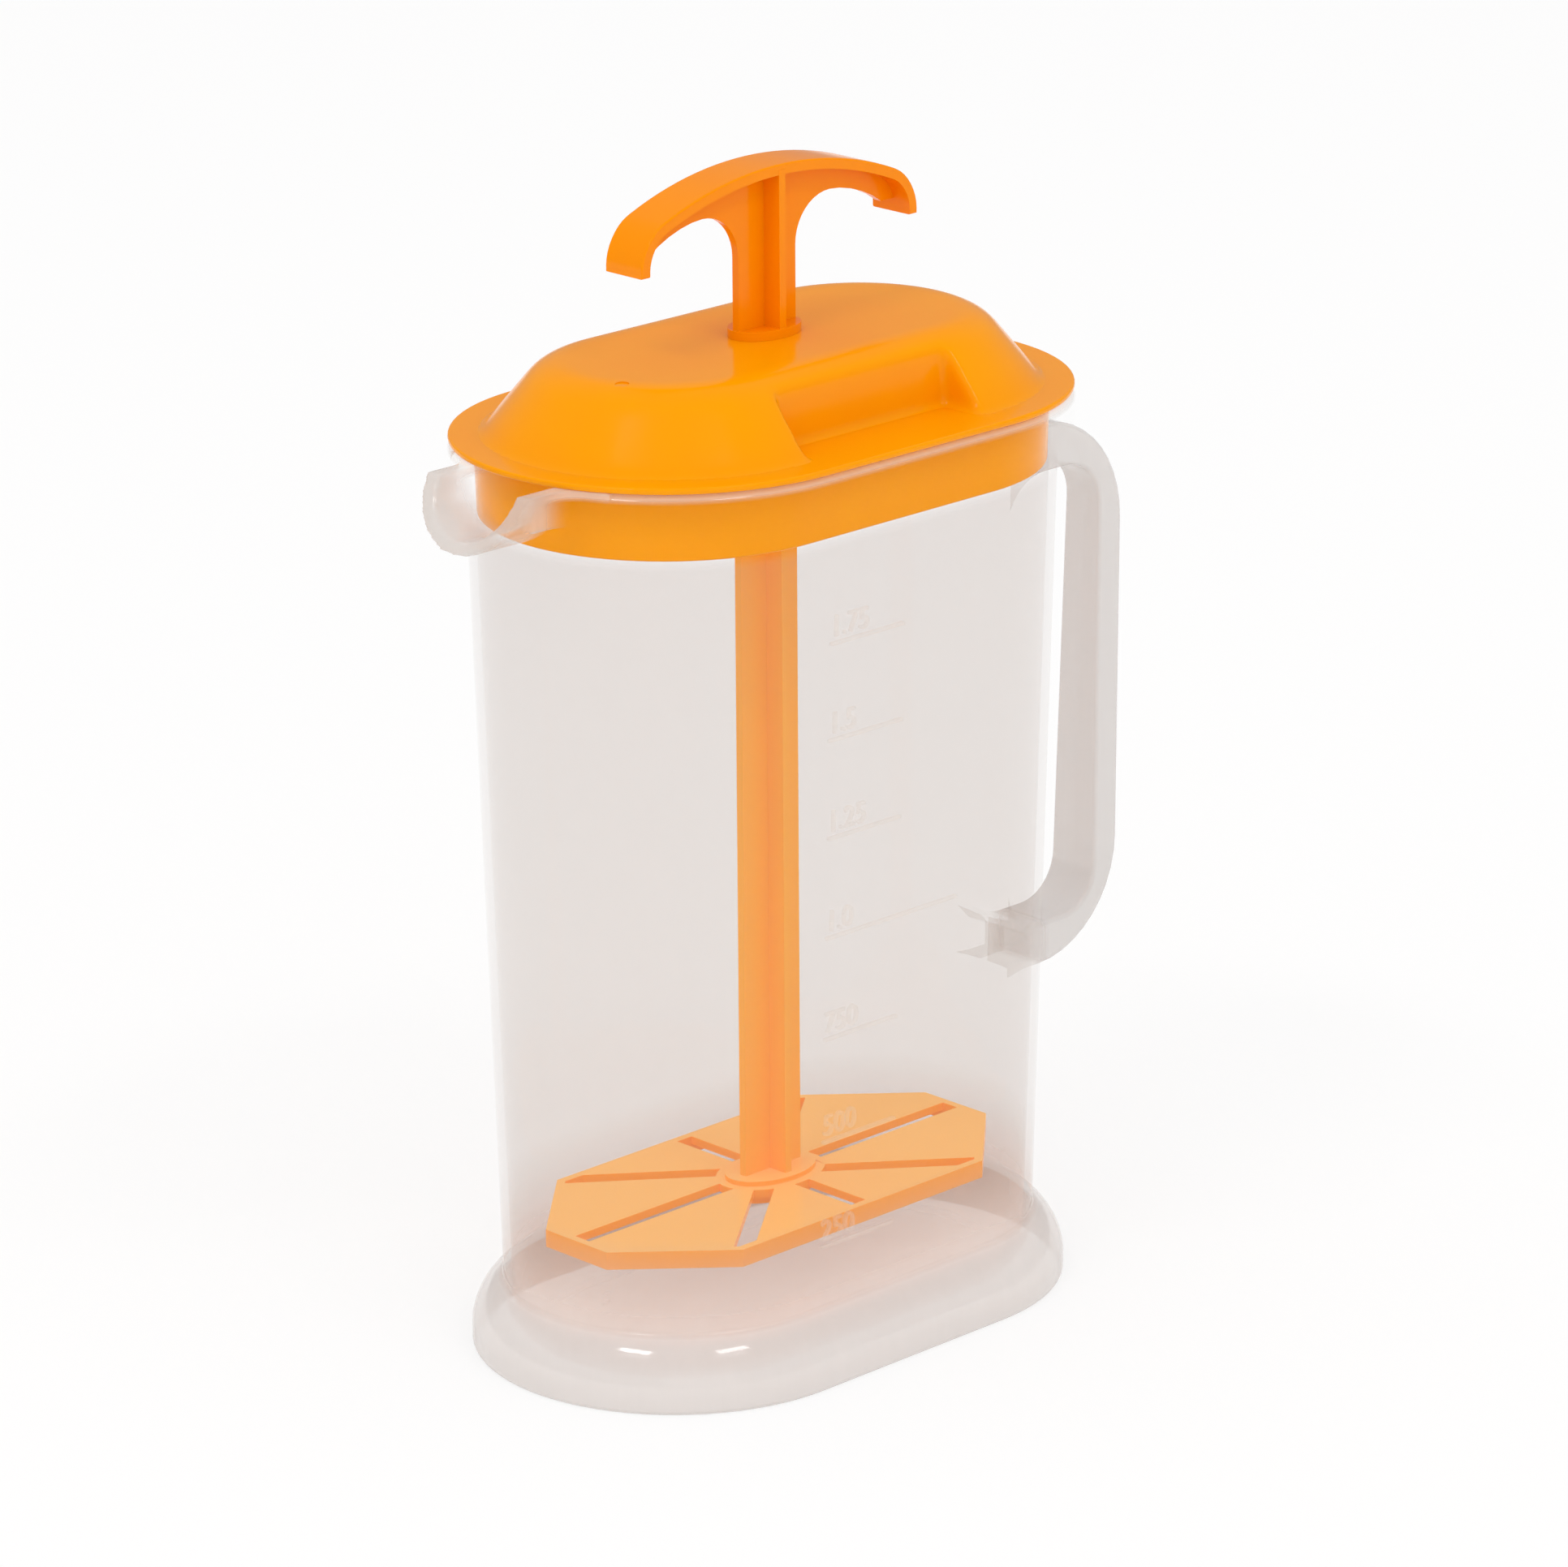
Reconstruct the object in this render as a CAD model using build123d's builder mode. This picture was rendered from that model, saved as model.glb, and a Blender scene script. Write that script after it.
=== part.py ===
from build123d import *
from math import atan2, degrees, pi, sqrt
import os

# Mixing jug: an oval translucent jug with a plunger that runs through its lid.
# All sizes are millimetres. +Z is up, the spout points to -X, the handle to +X.
# The origin lies on the surface that the jug stands on, under the middle of its overall length.

# Oval plan: two half circles joined by a straight run, the same run at every height
half_straight = 30.1

# Jug wall
wall = 2.0
wall_radius_at_base = 40.6
wall_draft = 0.02735
floor_underside = 3.0
floor_thickness = 2.0
outer_corner = 10.0
inner_corner = 8.0
rim_top = 219.0

# Foot skirt, hollow underneath
foot_flare = 8.0
foot_wall = 2.2
foot_top = 17.2
foot_widest = 4.0
foot_edge = 1.4

# Rolled rim
rim_overhang = 3.81
rim_height = 9.4
rim_lower_round = 5.2
rim_upper_round = 3.2

# Spout
spout_projection = 19.71
spout_lean = 0.55
spout_half_width = 16.6
spout_depth = 14.4
spout_side = 4.2
spout_floor = 2.8
spout_edge = 1.1
spout_inset = 5.0

# Handle
handle_projection = 38.5
handle_drop = 19.6
handle_length = 134.4
handle_round = 27.5
handle_top_width = 10.6
handle_bottom_width = 15.3
grip_thickness = 7.9
upper_arm = 11.9
lower_arm = 10.4
finger_round = 11.0
root_round = 13.0
handle_edge = 1.2
root_depth = 5.0
gusset_half_width = 8.6
gusset_length = 9.0
gusset_thickness = 2.4
root_web = 2.4

# Graduations on the near side
mark_volume = 250000.0
mark_count = 7
first_mark = 32.1
mark_thickness = 0.8
mark_proud = 0.35
mark_left = -24.5
mark_short_end = -1.0
mark_long_end = 18.0
long_mark = 4

# Lid
flange_inset = 0.4
flange_width = 7.6
flange_thickness = 1.5
dome_run = 13.7
dome_round = 1.6
plateau_height = 16.6
plateau_round = 10.5
lid_wall = 1.8
skirt_depth = 17.0
skirt_clearance = 0.35

# Finger notches in the lid's long sides
notch_half_length = 27.3
notch_setback = 1.8

# Stem: a blade along X crossed by a narrower rib
stem_thickness = 2.0
blade_half_width = 9.05
rib_half_width = 6.1
stem_clearance = 0.3
collar_thickness = 2.1
collar_lap = 0.4

# T-handle
grip_height = 40.2
grip_arc = 95.0
grip_half_length = 43.6
grip_drop = 19.0
grip_corner = 11.0
strap_thickness = 2.5
strap_width = 12.0
web_thickness = 2.0
arch_round = 11.0
arch_crown_drop = 10.1
arch_end_drop = 15.8
tip_length = 6.9

# Mixing plate
plate_end_gap = 6.8
plate_side_gap = 8.2
plate_cut_length = 23.2
plate_cut_width = 21.1
plate_lift = 23.8
plate_thickness = 2.0
plate_rim_height = 4.3
plate_rim_wall = 2.0
slot_width = 4.7
hub_half_length = 14.8
hub_half_width = 10.6
hub_margin = 2.2
hub_rise = 1.2
socket_floor = 1.2
socket_clearance = 0.05

# How far the tools that cut reach past what they cut
cut_margin = 5.0


def outer_radius(height):
    """Radius of the wall's outside at a height."""
    return wall_radius_at_base + wall_draft * height


def inner_radius(height):
    """Radius of the wall's inside at a height."""
    return outer_radius(height) - wall


# Heights that follow from the sizes
floor_top = floor_underside + floor_thickness
plate_bottom = floor_top + plate_lift
plate_top = plate_bottom + plate_rim_height
stem_bottom = plate_bottom + socket_floor
handle_top = rim_top - handle_drop
handle_bottom = handle_top - handle_length
finger_top = handle_top - upper_arm
finger_bottom = handle_bottom + lower_arm
rim_underside = rim_top - rim_height
skirt_bottom = rim_top - skirt_depth
brim_top = rim_top + flange_thickness
plateau_top = brim_top + plateau_height
grip_apex = plateau_top + grip_height
grip_end = grip_apex - grip_drop
arch_crown = grip_apex - arch_crown_drop
arch_start = arch_crown - arch_round
arch_end = grip_apex - arch_end_drop

# Distances from the middle that follow from the sizes
foot_radius = wall_radius_at_base + foot_flare
rim_radius = outer_radius(rim_top) + rim_overhang
flange_radius = rim_radius - flange_inset
dome_radius = flange_radius - flange_width
plateau_radius = dome_radius - dome_run
notch_back = plateau_radius + notch_setback
plate_half_length = half_straight + inner_radius(plate_top) - plate_end_gap
plate_half_width = inner_radius(plate_top) - plate_side_gap
plate_side_half = plate_half_length - plate_cut_length
plate_end_half = plate_half_width - plate_cut_width
spout_reach = half_straight + outer_radius(rim_top) + spout_projection
spout_tip = spout_reach + spout_edge * (spout_lean + sqrt(1 + spout_lean**2) - 1)
handle_reach = half_straight + outer_radius(handle_top - handle_round) + handle_projection
jug_x = (spout_reach - handle_reach) / 2

end_axis = Axis((jug_x + half_straight, 0, 0), (0, 0, 1))
end_section = Plane(origin=(jug_x + half_straight, 0, 0), x_dir=(0, 1, 0), z_dir=(1, 0, 0))
side_view = Plane(origin=(jug_x, 0, 0), x_dir=(1, 0, 0), z_dir=(0, -1, 0))
across = Plane.XZ
along = Plane.YZ.offset(jug_x)


def level(height):
    """Horizontal plane on the jug's axis."""
    return Plane.XY.offset(height).move(Location((jug_x, 0, 0)))


def facing_spout(distance):
    """Upright plane across the spout, at a distance from the jug's axis, with Y to the right."""
    return Plane(origin=(jug_x - distance, 0, 0), x_dir=(0, 1, 0), z_dir=(1, 0, 0))


def inner_area(height):
    """Area of the inside of the oval at a height."""
    radius = inner_radius(height)
    return pi * radius**2 + 4 * half_straight * radius


def wall_middle(height):
    """Reach of the middle of the end wall from the jug's axis at a height."""
    return half_straight + outer_radius(height) - wall / 2


def grip_outside(height):
    """Reach of the grip's outside at a height, parallel to the wall."""
    return handle_reach + wall_draft * (height - handle_top + handle_round)


def handle_half_width(height):
    """Half the handle's width at a height, which grows evenly towards the bottom."""
    share = (handle_top - height) / handle_length
    return (handle_top_width + share * (handle_bottom_width - handle_top_width)) / 2


def carry_round_oval(section):
    """Carry a half section round the oval: a half turn at each end and the straight run between."""
    revolve(axis=end_axis, revolution_arc=-180)
    mirror(about=along)
    extrude(section.sketch + section.sketch.mirror(across), amount=-2 * half_straight)


def half_bowl(half_width, depth):
    """Half an ellipse below the rim's top, closed by a straight top."""
    with BuildLine() as bowl_line:
        EllipticalCenterArc((0, rim_top), half_width, depth, start_angle=180, arc_size=180)
        Line((half_width, rim_top), (-half_width, rim_top))
    make_face(bowl_line.edges())


def cross(half_length, half_width, thickness):
    """Plan of the cross-shaped stem."""
    Rectangle(2 * half_length, thickness)
    Rectangle(thickness, 2 * half_width)


def bow(half_length, apex, arc, end, corner):
    """Side view of a bowed strap's outline, down to a straight end."""
    shoulder = apex - arc + sqrt(arc**2 - half_length**2)
    with BuildLine() as bow_line:
        ThreePointArc((-half_length, shoulder), (0, apex), (half_length, shoulder))
        Polyline((half_length, shoulder), (half_length, end), (-half_length, end), (-half_length, shoulder))
    outline = make_face(bow_line.edges())
    fillet(outline.vertices().sort_by(Axis.Y)[-2:], radius=corner)


def plate_corners():
    """Eight-sided outline of the mixing plate."""
    Polygon(
        (plate_half_length, -plate_end_half),
        (plate_half_length, plate_end_half),
        (plate_side_half, plate_half_width),
        (-plate_side_half, plate_half_width),
        (-plate_half_length, plate_end_half),
        (-plate_half_length, -plate_end_half),
        (-plate_side_half, -plate_half_width),
        (plate_side_half, -plate_half_width),
        align=None,
    )


# The space inside the jug
with BuildPart() as cavity:
    with BuildSketch(end_section) as cavity_section:
        with BuildLine():
            corner_top = (inner_radius(floor_top + inner_corner), floor_top + inner_corner)
            corner_start = (corner_top[0] - inner_corner, floor_top)
            Line((0, floor_top), corner_start)
            TangentArc(corner_start, corner_top, tangent=(1, 0))
            mouth = (inner_radius(rim_top + cut_margin), rim_top + cut_margin)
            Polyline(corner_top, mouth, (0, mouth[1]), (0, floor_top))
        make_face()
    carry_round_oval(cavity_section)

# Loop handle, with its lower root cored on both sides and flared onto the wall
with BuildPart() as handle:
    with BuildSketch(side_view) as handle_side:
        with BuildLine():
            top_end = (wall_middle(handle_top) - root_depth, handle_top)
            bottom_end = (wall_middle(handle_bottom) - root_depth, handle_bottom)
            FilletPolyline(
                top_end,
                (grip_outside(handle_top), handle_top),
                (grip_outside(handle_bottom), handle_bottom),
                bottom_end,
                radius=handle_round,
            )
            Line(bottom_end, top_end)
        make_face()
        with BuildLine():
            FilletPolyline(
                (wall_middle(finger_bottom), finger_bottom),
                (grip_outside(finger_bottom) - grip_thickness, finger_bottom),
                (grip_outside(finger_top) - grip_thickness, finger_top),
                (wall_middle(finger_top), finger_top),
                radius=[root_round, finger_round, finger_round, root_round],
                close=True,
            )
        make_face(mode=Mode.SUBTRACT)
    extrude(amount=handle_bottom_width, both=True)
    with BuildSketch(along) as handle_front:
        low_end, high_end = handle_bottom - cut_margin, handle_top + cut_margin
        with BuildLine():
            Polyline(
                (-handle_half_width(low_end), low_end),
                (handle_half_width(low_end), low_end),
                (handle_half_width(high_end), high_end),
                (-handle_half_width(high_end), high_end),
                close=True,
            )
        make_face()
    extrude(amount=2 * handle_reach, mode=Mode.INTERSECT)
    side_faces = handle.faces().sort_by(Axis.Y)
    fillet(side_faces[0].edges() + side_faces[-1].edges(), radius=handle_edge)

    pocket_bottom = handle_bottom + gusset_thickness
    pocket_root = wall_middle(finger_bottom)
    pocket_curve = root_round + gusset_thickness
    pocket_centre = (pocket_root + root_round, finger_bottom + root_round)
    with BuildSketch(side_view) as root_pocket:
        with BuildLine():
            outer_drop = sqrt(pocket_curve**2 - (root_round - gusset_length) ** 2)
            root_drop = sqrt(pocket_curve**2 - root_round**2)
            arc_outer = (pocket_root + gusset_length, pocket_centre[1] - outer_drop)
            arc_root = (pocket_root, pocket_centre[1] - root_drop)
            Polyline(arc_root, (pocket_root, pocket_bottom), (arc_outer[0], pocket_bottom), arc_outer)
            RadiusArc(arc_root, arc_outer, -pocket_curve)
        make_face()
    extrude(amount=handle_bottom_width, both=True, mode=Mode.SUBTRACT)
    extrude(root_pocket.sketch, amount=root_web / 2, both=True)

# Flanges of the lower root, spreading towards the wall
with BuildPart() as root_flanges:
    with BuildSketch(side_view) as flange_side:
        add(handle_side.sketch_local)
        add(root_pocket.sketch_local, mode=Mode.SUBTRACT)
        with Locations((pocket_root + (gusset_length - wall) / 2, finger_bottom)):
            Rectangle(gusset_length + wall, 2 * root_round, mode=Mode.INTERSECT)
    extrude(amount=gusset_half_width, both=True)
    with BuildSketch(level(handle_bottom)) as flange_plan:
        with BuildLine():
            flange_tip = pocket_root + gusset_length
            tip_half = handle_half_width(finger_bottom) - handle_edge
            Polyline(
                (pocket_root - wall, -gusset_half_width),
                (flange_tip, -tip_half),
                (flange_tip, tip_half),
                (pocket_root - wall, gusset_half_width),
                close=True,
            )
        make_face()
    extrude(amount=2 * root_round, mode=Mode.INTERSECT)

# The channel of the spout, cut through the end wall as well
spout_length = spout_tip - half_straight - inner_radius(rim_top) + spout_inset
with BuildPart() as spout_channel:
    with BuildSketch(facing_spout(spout_tip)) as channel_section:
        half_bowl(spout_half_width - spout_side, spout_depth - spout_floor)
    extrude(amount=spout_length)

# Spout: a thick-walled trough with a leaning, rounded lip
with BuildPart() as spout:
    with BuildSketch(facing_spout(spout_tip)) as trough_section:
        half_bowl(spout_half_width, spout_depth)
    extrude(amount=spout_length)
    add(spout_channel.part, mode=Mode.SUBTRACT)
    with BuildSketch(side_view) as lip_front:
        with BuildLine():
            lean_foot = (-spout_tip, rim_top - spout_depth)
            lean_head = (spout_lean * spout_depth - spout_tip, rim_top)
            Polyline(lean_foot, lean_head, (-spout_tip, rim_top), close=True)
        make_face()
    extrude(amount=2 * spout_half_width, both=True, mode=Mode.SUBTRACT)
    lip_face = spout.faces().filter_by(GeomType.PLANE).sort_by(Axis.X)[0]
    top_edges = spout.faces().filter_by(Axis.Z).edges().filter_by(Axis.X)
    fillet(lip_face.edges() + top_edges, radius=spout_edge)

# Jug body: wall, floor, foot and rim in one moulding, with the handle and the spout
with BuildPart() as jug_body:
    foot_drop = foot_radius - outer_radius(foot_top)
    foot_curve = (foot_drop**2 + (foot_top - foot_widest) ** 2) / (2 * foot_drop)
    inside_curve = foot_curve - foot_wall
    inside_drop = foot_radius - foot_wall - outer_radius(foot_top)
    inside_rise = sqrt(inside_curve**2 - (inside_curve - inside_drop) ** 2)
    with BuildSketch(end_section) as body_section:
        with BuildLine():
            corner_end = (outer_radius(floor_underside + outer_corner), floor_underside + outer_corner)
            corner_start = (corner_end[0] - outer_corner, floor_underside)
            foot_inside = (outer_radius(foot_widest + inside_rise), foot_widest + inside_rise)
            Line((0, floor_underside), corner_start)
            TangentArc(corner_start, corner_end, tangent=(1, 0))
            Line(corner_end, foot_inside)
            TangentArc((foot_radius - foot_wall, foot_widest), foot_inside, tangent=(0, 1))
            Polyline(
                (foot_radius - foot_wall, foot_widest),
                (foot_radius - foot_wall, 0),
                (foot_radius - foot_edge, 0),
            )
            TangentArc((foot_radius - foot_edge, 0), (foot_radius, foot_edge), tangent=(1, 0))
            Line((foot_radius, foot_edge), (foot_radius, foot_widest))
            TangentArc((foot_radius, foot_widest), (outer_radius(foot_top), foot_top), tangent=(0, 1))
            rim_start = (rim_radius - rim_lower_round, rim_underside)
            rim_side = (rim_radius, rim_underside + rim_lower_round)
            Polyline(
                (outer_radius(foot_top), foot_top),
                (outer_radius(rim_underside), rim_underside),
                rim_start,
            )
            TangentArc(rim_start, rim_side, tangent=(1, 0))
            rim_crest = (rim_radius - rim_upper_round, rim_top)
            Line(rim_side, (rim_radius, rim_top - rim_upper_round))
            TangentArc((rim_radius, rim_top - rim_upper_round), rim_crest, tangent=(0, 1))
            Polyline(rim_crest, (0, rim_top), (0, floor_underside))
        make_face()
    carry_round_oval(body_section)
    add(handle.part)
    add(root_flanges.part)
    add(spout.part)
    add(cavity.part, mode=Mode.SUBTRACT)
    add(spout_channel.part, mode=Mode.SUBTRACT)

    mark_height = first_mark
    for number in range(1, mark_count + 1):
        mark_end = mark_long_end if number == long_mark else mark_short_end
        inside_wall = Plane(
            origin=(jug_x, wall / 2 - outer_radius(mark_height), mark_height),
            x_dir=(1, 0, 0),
            z_dir=(0, -1, 0),
        )
        with BuildSketch(inside_wall) as mark:
            with Locations(((mark_left + mark_end) / 2, 0)):
                Rectangle(mark_end - mark_left, mark_thickness)
        extrude(amount=wall / 2 + mark_proud)
        mark_height += mark_volume / inner_area(mark_height)

# The space under the lid, kept clear of the walls round the finger notches
with BuildPart() as lid_hollow:
    dome_slope = plateau_height / dome_run
    dome_drop = lid_wall * sqrt(1 + dome_slope**2)
    with BuildSketch(end_section) as hollow_section:
        with BuildLine():
            skirt_inside = inner_radius(skirt_bottom) - skirt_clearance - lid_wall
            dome_inside = inner_radius(rim_top) - skirt_clearance - lid_wall
            Polyline(
                (0, skirt_bottom - cut_margin),
                (skirt_inside, skirt_bottom - cut_margin),
                (skirt_inside, skirt_bottom),
                (dome_inside, brim_top + (dome_radius - dome_inside) * dome_slope - dome_drop),
                (plateau_radius + (lid_wall - dome_drop) / dome_slope, plateau_top - lid_wall),
                (0, plateau_top - lid_wall),
                close=True,
            )
        make_face()
        hollow_corners = hollow_section.vertices().sort_by(Axis.Y)[-2:]
        fillet(hollow_corners.sort_by(Axis.X)[-1], radius=plateau_round - lid_wall)
    carry_round_oval(hollow_section)
    with BuildSketch(level(brim_top - lid_wall)) as notch_surround:
        surround_middle = notch_back - lid_wall + flange_radius / 2
        with Locations((0, surround_middle), (0, -surround_middle)):
            Rectangle(2 * (notch_half_length + lid_wall), flange_radius)
    extrude(amount=plateau_height, mode=Mode.SUBTRACT)

# Lid: flange, raised dome with a finger notch on each long side, and the skirt inside the jug
with BuildPart() as lid:
    with BuildSketch(end_section) as lid_section:
        with BuildLine():
            Polyline(
                (0, skirt_bottom),
                (inner_radius(skirt_bottom) - skirt_clearance, skirt_bottom),
                (inner_radius(rim_top) - skirt_clearance, rim_top),
                (flange_radius, rim_top),
                (flange_radius, brim_top),
                (dome_radius, brim_top),
                (plateau_radius, plateau_top),
                (0, plateau_top),
                close=True,
            )
        make_face()
        brim_corners = lid_section.vertices().filter_by_position(Axis.Y, brim_top, brim_top).sort_by(Axis.X)
        fillet(brim_corners[0], radius=dome_round)
        plateau_corners = lid_section.vertices().sort_by(Axis.Y)[-2:]
        fillet(plateau_corners.sort_by(Axis.X)[-1], radius=plateau_round)
    carry_round_oval(lid_section)
    add(lid_hollow.part, mode=Mode.SUBTRACT)
    with BuildSketch(level(brim_top)) as finger_notches:
        with Locations((0, notch_back + flange_radius / 2), (0, -notch_back - flange_radius / 2)):
            Rectangle(2 * notch_half_length, flange_radius)
    extrude(amount=plateau_height, mode=Mode.SUBTRACT)
    with BuildSketch(level(plateau_top - plateau_height)) as stem_hole:
        cross(
            blade_half_width + stem_clearance,
            rib_half_width + stem_clearance,
            stem_thickness + 2 * stem_clearance,
        )
    extrude(amount=2 * plateau_height, mode=Mode.SUBTRACT)

# Plunger: bowed grip on a web, the cross-shaped stem and the collar that stops on the lid
with BuildPart() as plunger:
    half_strap = strap_thickness / 2
    with BuildSketch(side_view) as strap_outside:
        bow(grip_half_length, grip_apex, grip_arc, grip_end, grip_corner)
    extrude(amount=strap_width / 2, both=True)
    with BuildSketch(side_view) as strap_inside:
        bow(
            grip_half_length - strap_thickness,
            grip_apex - strap_thickness,
            grip_arc - strap_thickness,
            grip_end - cut_margin,
            grip_corner - strap_thickness,
        )
    extrude(amount=strap_width, both=True, mode=Mode.SUBTRACT)

    with BuildSketch(side_view) as web:
        bow(
            grip_half_length - half_strap,
            grip_apex - half_strap,
            grip_arc - half_strap,
            arch_start,
            grip_corner - half_strap,
        )
        with BuildLine() as finger_arch:
            crown = (blade_half_width + arch_round, arch_crown)
            outer_end = (grip_half_length - tip_length, arch_end)
            TangentArc((blade_half_width, arch_start), crown, tangent=(0, 1))
            TangentArc(crown, outer_end, tangent=(1, 0))
            Polyline(
                outer_end,
                (grip_half_length, arch_end),
                (grip_half_length, arch_start),
                (blade_half_width, arch_start),
            )
        arch = make_face(mode=Mode.PRIVATE)
        add(arch, mode=Mode.SUBTRACT)
        add(arch.mirror(Plane.YZ), mode=Mode.SUBTRACT)
        with Locations((0, (stem_bottom + arch_crown) / 2)):
            Rectangle(2 * blade_half_width, arch_crown - stem_bottom)
    extrude(amount=web_thickness / 2, both=True)

    with BuildSketch(level(stem_bottom)) as rib:
        Rectangle(stem_thickness, 2 * rib_half_width)
    extrude(amount=grip_apex - half_strap - stem_bottom)
    with BuildSketch(level(plateau_top)) as collar:
        Ellipse(
            blade_half_width + stem_clearance + collar_lap,
            rib_half_width + stem_clearance + collar_lap,
        )
    extrude(amount=collar_thickness)

# Mixing plate: eight sides, a rim that hangs down, eight slots and a hub with the stem's socket
with BuildPart() as mixing_plate:
    with BuildSketch(level(plate_bottom)) as plate_outline:
        plate_corners()
    extrude(amount=plate_rim_height)
    with BuildSketch(level(plate_bottom)) as underside:
        plate_corners()
        offset(amount=-plate_rim_wall, kind=Kind.INTERSECTION)
        Ellipse(hub_half_length - hub_margin, hub_half_width - hub_margin, mode=Mode.SUBTRACT)
    extrude(amount=plate_rim_height - plate_thickness, mode=Mode.SUBTRACT)
    with BuildSketch(level(plate_bottom)) as slots:
        corner_angle = degrees(atan2(plate_half_width, plate_side_half))
        for angle in (0, corner_angle, 90, -corner_angle):
            Rectangle(2 * plate_half_length, slot_width, rotation=angle)
        with BuildSketch(mode=Mode.INTERSECT):
            plate_corners()
            offset(amount=-plate_rim_wall, kind=Kind.INTERSECTION)
        Ellipse(hub_half_length, hub_half_width, mode=Mode.SUBTRACT)
    extrude(amount=plate_rim_height, mode=Mode.SUBTRACT)
    with BuildSketch(level(plate_top)) as boss:
        Ellipse(hub_half_length - hub_margin, hub_half_width - hub_margin)
    extrude(amount=hub_rise)
    with BuildSketch(level(stem_bottom)) as socket:
        cross(
            blade_half_width + socket_clearance,
            rib_half_width + socket_clearance,
            stem_thickness + 2 * socket_clearance,
        )
    extrude(amount=plate_rim_height, mode=Mode.SUBTRACT)

# One file for each piece
os.makedirs("parts", exist_ok=True)
jug_body.part.label = "jug_body"
export_step(jug_body.part, "parts/jug_body.step")
lid.part.label = "lid"
export_step(lid.part, "parts/lid.step")
plunger.part.label = "plunger"
export_step(plunger.part, "parts/plunger.step")
mixing_plate.part.label = "mixing_plate"
export_step(mixing_plate.part, "parts/mixing_plate.step")
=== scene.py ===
"""Looks of the mixing jug: its moulded shells, their finishes, the light and the camera."""

import logging
from dataclasses import dataclass, field
from enum import Enum
from math import atan, ceil, cos, pi, radians, sin, sqrt, tan
from typing import Iterable, NamedTuple, Sequence

import bmesh
import bpy
from mathutils import Matrix, Vector


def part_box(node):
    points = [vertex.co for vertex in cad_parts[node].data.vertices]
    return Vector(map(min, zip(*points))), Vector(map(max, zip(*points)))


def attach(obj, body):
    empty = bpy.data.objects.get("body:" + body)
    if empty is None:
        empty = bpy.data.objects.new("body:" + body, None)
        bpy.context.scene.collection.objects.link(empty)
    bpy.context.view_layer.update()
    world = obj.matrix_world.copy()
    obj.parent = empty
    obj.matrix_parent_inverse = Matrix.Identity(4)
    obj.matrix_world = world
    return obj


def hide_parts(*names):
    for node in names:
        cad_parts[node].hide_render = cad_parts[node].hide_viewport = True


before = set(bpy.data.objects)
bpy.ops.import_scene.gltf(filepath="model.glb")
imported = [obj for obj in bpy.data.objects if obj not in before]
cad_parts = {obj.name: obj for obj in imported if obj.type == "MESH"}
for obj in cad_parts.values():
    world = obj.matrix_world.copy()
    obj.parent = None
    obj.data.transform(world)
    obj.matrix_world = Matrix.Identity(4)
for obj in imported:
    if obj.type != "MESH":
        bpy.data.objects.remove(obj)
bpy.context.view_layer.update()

log = logging.getLogger("mixing_jug")

MM = 0.001
CUT_MARGIN = 5.0  # how far a cutting block goes past what it cuts, in millimetres
FAR_MARGIN = 30.0  # the same for a block that passes the whole handle or spout, in millimetres
SKIN_DEPTH = 0.05  # how far a blended shelf lies under the face it grows out of, in millimetres
TOUCH = 0.001  # points that lie closer than this are one point, in millimetres
SLIVER = 0.02  # edges shorter than this are dissolved before a round, in millimetres
NEARLY_FULL = 0.01  # what a round stays short of its neighbour, in millimetres
FULL_TURN = 2 * pi
STEP_OF_ROUND = radians(9)
SHARP_ANGLE = radians(38)
IOR_OF_POLYPROPYLENE = 1.49
CLOUD_LOW, CLOUD_HIGH = 0.3, 0.7  # where nearly all values of Blender's noise lie
# sockets of Blender's mix node, several of which share a name
FACTOR, FLOAT_A, FLOAT_B, COLOUR_A, COLOUR_B, COLOUR_RESULT = 0, 2, 3, 6, 7, 2
BODY_OF_JUG = "jug"
BODY_OF_LID = "lid"
BODY_OF_PLUNGER = "plunger"


class View(Enum):
    """Plane that an outline is drawn in."""

    SECTION = "across the oval's end"
    SIDE = "long side of the jug"
    PLAN = "seen from above"

    def point(self, across: float, up: float, depth: float) -> Vector:
        """Turn a point of the outline into a point in space, in millimetres.

        Args:
            across: Its place across.
            up: Its place upwards.
            depth: Place of the plane along its normal.

        Returns:
            The point.
        """
        if self is View.SECTION:
            return Vector((depth, across, up))
        if self is View.SIDE:
            return Vector((across, depth, up))
        return Vector((across, up, depth))

    def normal(self) -> Vector:
        """Direction that an outline in this plane is thickened in."""
        return self.point(0.0, 0.0, 1.0)


class Joining(Enum):
    """Way that one solid acts on another."""

    ADD = "UNION"
    CUT = "DIFFERENCE"
    KEEP = "INTERSECT"


class Corner(NamedTuple):
    """Corner of an outline and the radius that rounds it, in millimetres."""

    across: float
    up: float
    round: float = 0.0


def linear(hex_colour: str, alpha: float = 1.0) -> tuple[float, float, float, float]:
    """Turn an sRGB hex colour to the linear values that a shader takes.

    Args:
        hex_colour: Colour such as "#ff8c00".
        alpha: Fourth value of the result.

    Returns:
        Red, green, blue and alpha.
    """
    channels = (int(hex_colour[place : place + 2], 16) / 255 for place in (1, 3, 5))
    values = [value / 12.92 if value <= 0.04045 else ((value + 0.055) / 1.055) ** 2.4 for value in channels]
    return (values[0], values[1], values[2], alpha)


def arc_height(radius: float, half_chord: float) -> float:
    """Height of an arc's crown above its chord."""
    return radius - sqrt(radius**2 - half_chord**2)


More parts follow.
